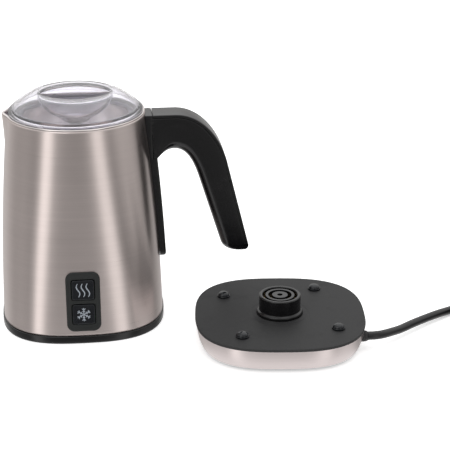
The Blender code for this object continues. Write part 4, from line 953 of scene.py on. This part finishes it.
def lid():
    """Clear lid in one closed skin, with the pinch bar that stands in its bowl."""
    out_r, out_z, theta = lid_rows(0.0)
    in_r, in_z = lid_rows(LID_WALL)[:2]
    skirt_in = SKIRT_R - LID_SKIRT_T
    keep = in_r.min(1) < skirt_in - 0.8
    in_r, in_z = in_r[keep], in_z[keep]
    lip = filleted([(LID_R, RIM_Z + GAP), (SKIRT_R, RIM_Z + GAP), (SKIRT_R, RIM_Z - LID_SKIRT_DROP),
                    (skirt_in, RIM_Z - LID_SKIRT_DROP), (skirt_in, RIM_Z + 3.4),
                    (LID_R, RIM_Z + 1.0)], (0.5, 0.3, 0.7, 0.7, 2.5, 0.01), 6)
    low = lip[:-6]
    r = np.vstack([in_r[::-1], low[::-1, :1] * np.ones_like(theta), out_r])
    z = np.vstack([in_z[::-1], low[::-1, 1:] * np.ones_like(theta), out_z])
    rows = polar(r, z, JUG, theta)
    shell = skin(rows, caps=poles(JUG, in_z[-1, 0], out_z[-1, 0]))
    piece("lid_dome", shell, "lid", LOOKS["clear"], ["lid"])
    pinch_bar()


def pinch_bar():
    """Bar across the bowl: level rings of a round-ended slab, which end on the bowl's surface.

    Each ring is as long as the bowl is wide at its height.
    """
    z = np.linspace(-EYE_DEPTH + EYE_Z + 0.35, BAR_Z, 40)[:, None]
    share = np.clip(1 - ((EYE_Z - z) / EYE_DEPTH) ** 2, 0, 1) ** (1 / BOWL_POWER)
    reach = EYE_HALF_W * share + 0.25
    crown = np.clip((z - BAR_Z + 1.2) / 1.2, 0, 1)
    half = BAR_T / 2 * np.sqrt(np.maximum(1 - 0.85 * crown ** 2, 0))
    x = np.linspace(-1, 1, 40)[None, :]
    x, y = np.hstack([reach * x, reach * x[:, ::-1]]), np.hstack([-half + 0 * x, half + 0 * x])
    rows = np.stack([JUG[0] + x, JUG[1] + y, RIM_Z + z + 0 * x], -1)
    piece("lid_pinch_bar", capped(rows), "lid", LOOKS["clear"])


def lid_gasket():
    """Silicone ring round the skirt with two wiping lips."""
    low = RIM_Z - LID_SKIRT_DROP + 1.8
    back, out = SKIRT_R + GAP, POT_R - STEEL + 1.5
    outline = filleted([(back, low), (out - 0.6, low), (out, low + 0.35), (out - 0.9, low + 0.9),
                        (out - 0.9, low + 1.4), (out, low + 1.8), (out - 0.5, low + GASKET_H),
                        (back, low + GASKET_H)], 0.25, 4)
    piece("gasket_ring", turned(outline, JUG, 192), "lid", LOOKS["silicone"],
          ["lid_gasket"])


# ---- whisk -----------------------------------------------------------------------------------
WHISK_R, SPINDLE_R = 11.5, 1.5
WHISK_COIL_R, WHISK_WIRE_R = 14.2, 2.2
WHISK_TURNS, WIRE_R = 46, 0.45


def whisk():
    """Whisk hub with its sprung ring: a fine wire wound round a circle."""
    low = POT_FLOOR_Z + STEEL + GAP + 0.6
    outline = filleted([(WHISK_R, low), (WHISK_R, low + 3.2), (3.4, low + 4.4), (3.4, low + 11),
                        (SPINDLE_R + GAP, low + 11), (SPINDLE_R + GAP, low)], 0.8)
    piece("whisk_core", turned(outline, JUG), "whisk", LOOKS["satin"],
          ["whisk_hub"])
    t = np.linspace(0, 2 * pi, WHISK_TURNS * 14, endpoint=False)
    outward = np.stack([np.cos(t), np.sin(t), 0 * t], -1)
    wind = WHISK_TURNS * t
    small = WHISK_WIRE_R - WIRE_R
    path = JUG + outward * (WHISK_COIL_R + small * np.cos(wind))[:, None]
    path[:, 2] = low + WHISK_WIRE_R + small * np.sin(wind)
    ahead = np.roll(path, -1, 0) - np.roll(path, 1, 0)
    ahead /= np.linalg.norm(ahead, axis=1, keepdims=True)
    from_core = outward * np.cos(wind)[:, None] + [0, 0, 1] * np.sin(wind)[:, None]
    shell = sweep(path, round_profile(WIRE_R, 8), np.cross(ahead, from_core), from_core, False)
    piece("whisk_spring", shell, "whisk", LOOKS["pot"], ["whisk_coil"])


# ---- power base ------------------------------------------------------------------------------
COLLAR_R, COLLAR_H, POST_R = 16.2, 2.2, 14.7
GROOVES = ((12.2, 10.3), (8.2, 5.6))
GROOVE_DEPTH, POST_HOLE_R = 6.0, 1.8
MOAT_R, MOAT_W, MOAT_DEPTH = 19.4, 1.3, 0.22
PLATE_POCKET = 1.0
PLATE_HOLE_R = POST_R - 1.2
FOOT_H = 1.5
PLATE_ROUND, TRAY_T = 0.7, 2.0


def base_outline(theta, half):
    """Distance from the base's middle to its turned superellipse of a half-width."""
    return superellipse(theta - BASE_TURN, half, BASE_POWER)


def base_ring(half, z):
    """Superellipse rings of the base, one for each half-width and height."""
    theta = angles(300)
    half, z = np.reshape(half, (-1, 1)), np.reshape(z, (-1, 1))
    return polar(base_outline(theta, half), z, BASE, theta)


def base_skirt():
    """Steel skirt that leans in towards its foot, with a rolled edge at its foot."""
    plate_z = BASE_H - PLATE_T
    t = np.linspace(0, 1, 22)
    z = plate_z - GAP - (plate_z - GAP - SKIRT_FOOT_Z) * t
    lean = 0.35 * t + 0.65 * t ** 3
    half = SKIRT_SHOULDER_HALF - (SKIRT_SHOULDER_HALF - SKIRT_FOOT_HALF) * lean
    a = np.linspace(0, pi, 7)[1:-1]
    low_half = half[-1] - STEEL / 2 + STEEL / 2 * np.cos(a)
    low_z = z[-1] + 0.4 - 0.4 * np.sin(a)
    rows = base_ring(np.concatenate([half, low_half, half[::-1] - STEEL]),
                     np.concatenate([z, low_z, z[::-1]]))
    piece("base_steel_band", skin(rows, loop=True), "base", LOOKS["skirt"],
          ["base_skirt"])


def base_plate():
    """Top plate: rings that turn from round at the post to the base's outline at its edge.

    The post's collar sits in a pocket round its hole, with a shallow moat outside it. The edge
    is a quarter circle, and the underside joins back to the hole.
    """
    theta = angles(300)
    outline = base_outline(theta, BASE_HALF)
    share = np.concatenate([np.linspace(0, 0.25, 22), np.linspace(0.27, 0.97, 14)])[:, None]
    edge = np.linspace(0, pi / 2, 6)[:, None]
    pocket_r = COLLAR_R + GAP
    r = pocket_r + (outline - 0.9 - pocket_r) * share
    z = BASE_H - MOAT_DEPTH * np.exp(-((r - MOAT_R) / MOAT_W) ** 2)
    edge_r = outline - PLATE_ROUND + PLATE_ROUND * np.sin(edge)
    edge_z = BASE_H - PLATE_ROUND + PLATE_ROUND * np.cos(edge)
    under = np.vstack([outline - 0.25, PLATE_HOLE_R + 0 * theta])
    pocket = np.array([[PLATE_HOLE_R], [pocket_r]]) + 0 * theta
    r = np.vstack([pocket, r, edge_r, under])
    z = np.vstack([np.full_like(pocket, BASE_H - PLATE_POCKET), z, edge_z + 0 * theta,
                   np.full_like(under, BASE_H - PLATE_T)])
    piece("base_black_plate", skin(polar(r, z, BASE, theta), loop=True), "base", LOOKS["matt"],
          ["base_top_plate"])


def coupler_post():
    """Connector post: a turned outline with its collar, two ring grooves and the middle hole."""
    (out_a, in_a), (out_b, in_b) = GROOVES
    low, land = POST_TOP - GROOVE_DEPTH, POST_TOP - 0.4
    collar, seat = BASE_H + COLLAR_H, BASE_H - PLATE_POCKET + GAP
    neck, foot = PLATE_HOLE_R - GAP, FOOT_H + 3.6
    corners = [(POST_HOLE_R, low), (POST_HOLE_R, land), (in_b, land), (in_b, low), (out_b, low),
               (out_b, land), (in_a, land), (in_a, low), (out_a, low), (out_a, POST_TOP - 0.5),
               (out_a + 0.5, POST_TOP), (POST_R - 0.6, POST_TOP), (POST_R, POST_TOP - 0.6),
               (POST_R, collar + 0.8), (COLLAR_R - 0.3, collar), (COLLAR_R, collar - 0.6),
               (COLLAR_R, seat), (neck, seat), (neck, foot)]
    piece("connector_post", turned_block(low, corners, foot, 0.25, BASE), "base",
          LOOKS["satin"], ["coupler_post"])


PAD_R = 4.6


def base_pads():
    """Four domed pads: a short wall, a step and a part of an ellipsoid."""
    a = np.linspace(0, pi / 2, 12)
    for k in range(4):
        at = middle(f"base_pad_{k + 1}")
        low = BASE_H + 0.03
        high = top(f"base_pad_{k + 1}")
        step = BASE_H + GAP + 1.0
        dome = np.stack([(PAD_R - 0.45) * np.cos(a), step + (high - step) * np.sin(a)], -1)
        profile = np.vstack([[0, low], [PAD_R - 0.2, low], [PAD_R, low + 0.2], [PAD_R, step - 0.25],
                             [PAD_R - 0.2, step], dome[:-1], [0, high]])
        piece(f"stud_{k + 1}", turned_solid(profile, at, 48), "base", LOOKS["gloss"],
              [f"base_pad_{k + 1}"])


def base_underside():
    """Tray with a round edge, ribs of shallow grooves, and four dished rubber feet."""
    low, high = (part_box("base_tray")[k].z / MM for k in (0, 1))
    half = SKIRT_FOOT_HALF - STEEL - GAP * 1.3
    share = np.linspace(0.04, 1, 60)[:, None]
    theta = angles(240)
    outline = base_outline(theta, half - 0.6)
    r = outline * share
    groove = 0.5 * (smooth_step(np.cos(r * 2 * pi / 9.0) * 3 - 1.6)) * ((r < 34) & (r > 10))
    under = low + groove
    edge = np.linspace(-pi / 2, 0, 5)[:, None]
    edge_r, edge_z = outline + 0.6 * np.cos(edge), low + 0.6 + 0.6 * np.sin(edge)
    r = np.vstack([r, edge_r, outline + 0.6, outline * 0.04])
    z = np.vstack([under, edge_z + 0 * theta, np.full((2, theta.size), low + TRAY_T)])
    shell = skin(polar(r, z, BASE, theta), caps=poles(BASE, low, low + TRAY_T))
    piece("base_floor", shell, "base", LOOKS["satin"], ["base_tray"])
    for k in range(4):
        at = middle(f"base_foot_{k + 1}")
        high = top(f"base_foot_{k + 1}")
        profile = [(0, 0.35), (3.6, 0.3), (4.0, 0.02), (5.3, 0.0), (5.9, 0.4), (6.0, high),
                   (0, high)]
        piece(f"rubber_foot_{k + 1}", turned_solid(profile, at, 48), "base", LOOKS["rubber"],
              [f"base_foot_{k + 1}"])


# ---- jug's underside -------------------------------------------------------------------------
COVER_Z, COVER_T, COVER_RINGS = 3.5, 2.5, (27.0, 42.0)
SOCKET_R, SOCKET_WALL, SOCKET_DEPTH = 17.8, 2.4, 15.5
FLANGE_W, FLANGE_T, CEILING_T = 4.2, 1.7, 2.2


def jug_underside():
    """Bottom cover with two moulded rings, and the connector cup that stands in its mouth."""
    theta = angles(240)
    half = FOOT_RING_HALF - FOOT_RING_BAND - GAP * 1.3
    outline = superellipse(theta, half - 0.5, FOOT_POWER)
    mouth = SOCKET_R + GAP
    share = np.linspace(0, 1, 50)[:, None]
    r = mouth + (outline - mouth) * share
    under = COVER_Z + sum(0.35 * smooth_step(3 - np.abs(r - at) * 2) for at in COVER_RINGS)
    edge = np.linspace(-pi / 2, 0, 5)[:, None]
    r = np.vstack([r, outline + 0.5 * np.cos(edge), outline + 0.5, mouth + 0 * theta])
    z = np.vstack([under, COVER_Z + 0.5 + 0.5 * np.sin(edge) + 0 * theta,
                   np.full((2, theta.size), COVER_Z + COVER_T)])
    piece("jug_floor", skin(polar(r, z, JUG, theta), loop=True), "jug", LOOKS["matt"],
          ["bottom_cover"])
    ceiling = COVER_Z + SOCKET_DEPTH
    flange = COVER_Z + COVER_T + GAP
    inner = SOCKET_R - SOCKET_WALL
    corners = [(SOCKET_R, ceiling + CEILING_T), (SOCKET_R, flange + FLANGE_T),
               (SOCKET_R + FLANGE_W, flange + FLANGE_T), (SOCKET_R + FLANGE_W, flange),
               (SOCKET_R, flange), (SOCKET_R, COVER_Z), (inner, COVER_Z), (inner, ceiling)]
    piece("connector_cup", turned_block(ceiling + CEILING_T, corners, ceiling, 0.5, JUG), "jug",
          LOOKS["satin"], ["coupler_socket"])


# ---- cord ------------------------------------------------------------------------------------
def plug():
    """Flat plug with a ribbed relief: superellipse sections carried along its line, and pins."""
    start = plug_start()[-1]
    far = PLUG_RELIEF + PLUG_LENGTH
    run = np.concatenate([np.linspace(0, PLUG_RELIEF, 29),
                          PLUG_RELIEF + np.linspace(1, PLUG_LENGTH, 40)])
    knots = [0, PLUG_RELIEF, PLUG_RELIEF + 5, PLUG_RELIEF + 14, far]
    wide = np.interp(run, knots, [CORD_R + 1.0, 6.2, 9.5, PLUG_W / 2 - 1.5, PLUG_W / 2])
    thick = np.interp(run, knots, [CORD_R + 1.0, 5.2, 6.0, PLUG_T / 2 - 0.2, PLUG_T / 2])
    power = np.interp(run, knots, [2.0, 2.2, 2.8, 3.6, 4.0])
    smear = np.ones(5) / 5
    wide[2:-2], thick[2:-2] = np.convolve(wide, smear, "valid"), np.convolve(thick, smear, "valid")
    rib = np.where(run < PLUG_RELIEF, 0.55 * (np.cos(run * 2 * pi / RIB_PITCH) < -0.2), 0)
    held = (run > PLUG_RELIEF + 16) & (run < PLUG_RELIEF + 28)
    grip = 0.35 * (held & (np.cos(run * 2 * pi / RIDGE_PITCH) < 0))
    end = np.clip((run - (far - PLUG_ROUND)) / PLUG_ROUND, 0, 1)
    shrink = PLUG_ROUND * (1 - np.sqrt(np.maximum(1 - end ** 2, 0)))
    wide, thick = wide - rib - shrink - grip, thick - rib - shrink
    theta = angles(64)
    r = superellipse(theta, 1.0, power[:, None])
    profile = np.stack([wide[:, None] * r * np.cos(theta), thick[:, None] * r * np.sin(theta)], -1)
    path = start + HEADING * (run[:, None] + GAP)
    made = [piece("plug_shell", level_sweep(path, profile, HEADING_LEFT), "base", LOOKS["cord"],
                  ["plug_body"])]
    for k, side in enumerate((-1, 1)):
        foot = start + HEADING * (far + GAP) + HEADING_LEFT * side * PIN_PITCH / 2
        made += plug_pin(foot, k + 1)
    return made


def plug_pin(foot, number):
    """A pin in two pieces: a black sleeve, and a metal tip whose end is a quarter ellipse."""
    a = np.linspace(0, pi / 2, 7)[:, None]
    sleeve_run, sleeve_r = np.array([[0.0], [PIN_SLEEVE]]), np.full((2, 1), PIN_R)
    tip_run = np.vstack([[[PIN_SLEEVE - 0.1]], PIN_LENGTH - PIN_ROUND + PIN_ROUND * np.sin(a)])
    tip_r = (PIN_R - 0.06) * np.vstack([[[1.0]], 0.35 + 0.65 * np.cos(a)])
    circle = round_profile(1.0, 24)[None]
    sleeve = level_sweep(foot + HEADING * sleeve_run, sleeve_r[:, None] * circle, HEADING_LEFT)
    tip = level_sweep(foot + HEADING * tip_run, tip_r[:, None] * circle, HEADING_LEFT)
    return [piece(f"plug_pin_sleeve_{number}", sleeve, "base", LOOKS["cord"]),
            piece(f"plug_pin_tip_{number}", tip, "base", LOOKS["zinc"],
                  [f"plug_pin_{number}"])]


def gland():
    """Tapered strain relief through the skirt."""
    start = np.array(CORD_ROUTE[0]) + BASE
    low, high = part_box("cord_gland")
    run = np.linspace(low.x / MM, high.x / MM, 60)
    back = run[-1] - run
    radius = np.interp(back, [0, 0.4, 1.6, 6, 12, 22], [3.2, 3.6, 3.9, 4.1, 5.0, 5.2])
    profile = radius[:, None, None] * round_profile(1.0, 32)[None]
    path = np.stack([run, np.full_like(run, start[1]), np.full_like(run, start[2])], -1)
    shell = level_sweep(path, profile, [0, -1.0, 0])
    return piece("cord_relief", shell, "base", LOOKS["rubber"], ["cord_gland"])


def cord():
    """The lead: a circle carried along its route, through the coil and into the plug."""
    route = np.array(CORD_ROUTE) + BASE
    path, length = even_curve(np.vstack([route, coil_route(), plug_start()]), 2.6)
    across, up = level_frame(path)
    shell = sweep(path, round_profile(CORD_R), across, up)
    made = piece("power_cord", shell, "base", LOOKS["cord"], ["cord", "cord_coil"])
    [gland()] + plug()


# ---- solids that keep their shape ------------------------------------------------------------
CARRIED = {
    "brass": ("post_contact_inner", "post_contact_outer", "socket_pin", "socket_ring_inner",
              "socket_ring_outer", "thermostat"),
    "zinc": ("handle_screw_top", "handle_screw_foot", "motor_screw_1", "motor_screw_2",
             "bottom_screw_1", "bottom_screw_2", "bottom_screw_3", "bottom_screw_4", "motor_shaft"),
    "pot": ("pot_spindle",),
    "aluminium": ("motor_can", "heater_ring"),
    "board": ("power_board", "control_board"),
    "white": ("relay", "switch_hot", "switch_cold"),
    "ferrite": ("drive_magnet",),
    "satin": ("motor_bracket", "drive_disc"),
}


def carried():
    """Gives the solids that keep their shape their own looks."""
    for look, nodes in CARRIED.items():
        for node in nodes:
            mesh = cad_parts[node].data
            mesh.materials.clear()
            mesh.materials.append(LOOKS[look])


# ---- studio ----------------------------------------------------------------------------------
def floor():
    """Pale floor, faintly mottled and lit a little from below; metal does not mirror it."""
    look = Look(bpy.data.materials.new("studio_floor"), Roughness=0.9, Emission_Strength=0.45,
                Emission_Color=(1, 1, 1, 1))
    look.feed("Base Color", look.mix(look.noise(3.0, 3.0), (0.93, 0.93, 0.93), (0.95, 0.95, 0.95)))
    mesh = bpy.data.meshes.new("floor")
    reach = 6.0
    corners = [(x * reach, y * reach, 0) for x, y in ((-1, -1), (1, -1), (1, 1), (-1, 1))]
    mesh.from_pydata(corners, [], [(0, 1, 2, 3)])
    mesh.materials.append(look.made)
    made = bpy.data.objects.new("floor", mesh)
    made.visible_glossy = False
    bpy.context.scene.collection.objects.link(made)


# Brightness of the studio round the horizon: degrees from the camera's side, to its right.
STUDIO = ((-180, 0.7), (-134, 0.7), (-103, 0.45), (-80, 0.45), (-60, 0.35), (-52, 0.6), (-44, 1.7),
          (-36, 1.5), (-27, 0.5), (-15, 0.3), (0, 0.28), (15, 0.3), (25, 0.5), (35, 1.3), (44, 1.3),
          (52, 0.5), (60, 0.35), (78, 0.62), (100, 0.56), (125, 0.3), (150, 0.5), (180, 0.7))
UNDER, OVER_FRONT, OVER_BACK, CEILING = 1.15, 0.8, 1.3, 1.0


def studio_light():
    """World light: pale panels and dim gaps round the horizon, with a bright ceiling and floor."""
    sky = Look(bpy.data.worlds.new("studio"), "Background", Strength=1.0)
    bpy.context.scene.world = sky.made
    way = sky.node("TexCoord", output="Generated")
    x, y, z = (sky.node("SeparateXYZ", {}, {0: way}, k) for k in range(3))
    heading = -CAMERA_HEADING
    toward = x * -sin(heading) + y * -cos(heading)
    aside = x * cos(heading) + y * -sin(heading)
    turn = sky.node("Math", {"operation": "ARCTAN2"}, {0: aside, 1: toward}) / (2 * pi) + 0.5
    stops = [((at + 180) / 360, (k, k * 0.985, k * 0.97)) for at, k in STUDIO]
    panels = sky.node("ValToRGB", {"stops": stops}, {0: turn})
    grey = [(k, k, k) for k in (UNDER, OVER_FRONT, OVER_BACK, CEILING)]
    over = sky.mix(smooth(sky, toward, 0.3, -0.3), grey[1], grey[2])
    over = sky.mix(smooth(sky, z, 0.6, 0.9), over, grey[3])
    low = sky.mix(smooth(sky, z, -0.62, -0.5), grey[0], panels)
    sky.feed("Color", sky.mix(smooth(sky, z, 0.2, 0.45), low, over))


def softbox(name, place, aim, size, power):
    """A square area light that faces a point."""
    data = bpy.data.lights.new(name, "AREA")
    data.size, data.energy = size, power
    made = bpy.data.objects.new(name, data)
    made.location = place
    made.rotation_euler = (Vector(aim) - Vector(place)).to_track_quat("-Z", "Y").to_euler()
    bpy.context.scene.collection.objects.link(made)


def studio():
    """Floor, world and two large softboxes; whites stay white."""
    floor()
    studio_light()
    softbox("key_softbox", (-0.9, -1.1, 1.5), (0, 0, 0.06), 1.2, 5.0)
    softbox("top_softbox", (0.3, 0.5, 1.7), (0, 0, 0.05), 1.6, 6.0)
    bpy.context.scene.view_settings.view_transform = "Standard"


# ---- assembly --------------------------------------------------------------------------------
def build():
    cord()
    outer_shell()
    inner_pot()
    foot_ring()
    button_panel()
    for label, side in (("hot", 1), ("cold", -1)):
        button(label, side)
    heat_icon()
    cold_icon()
    handle()
    lid()
    lid_gasket()
    whisk()
    base_skirt()
    base_plate()
    coupler_post()
    base_pads()
    base_underside()
    jug_underside()
    carried()
    studio()


build()
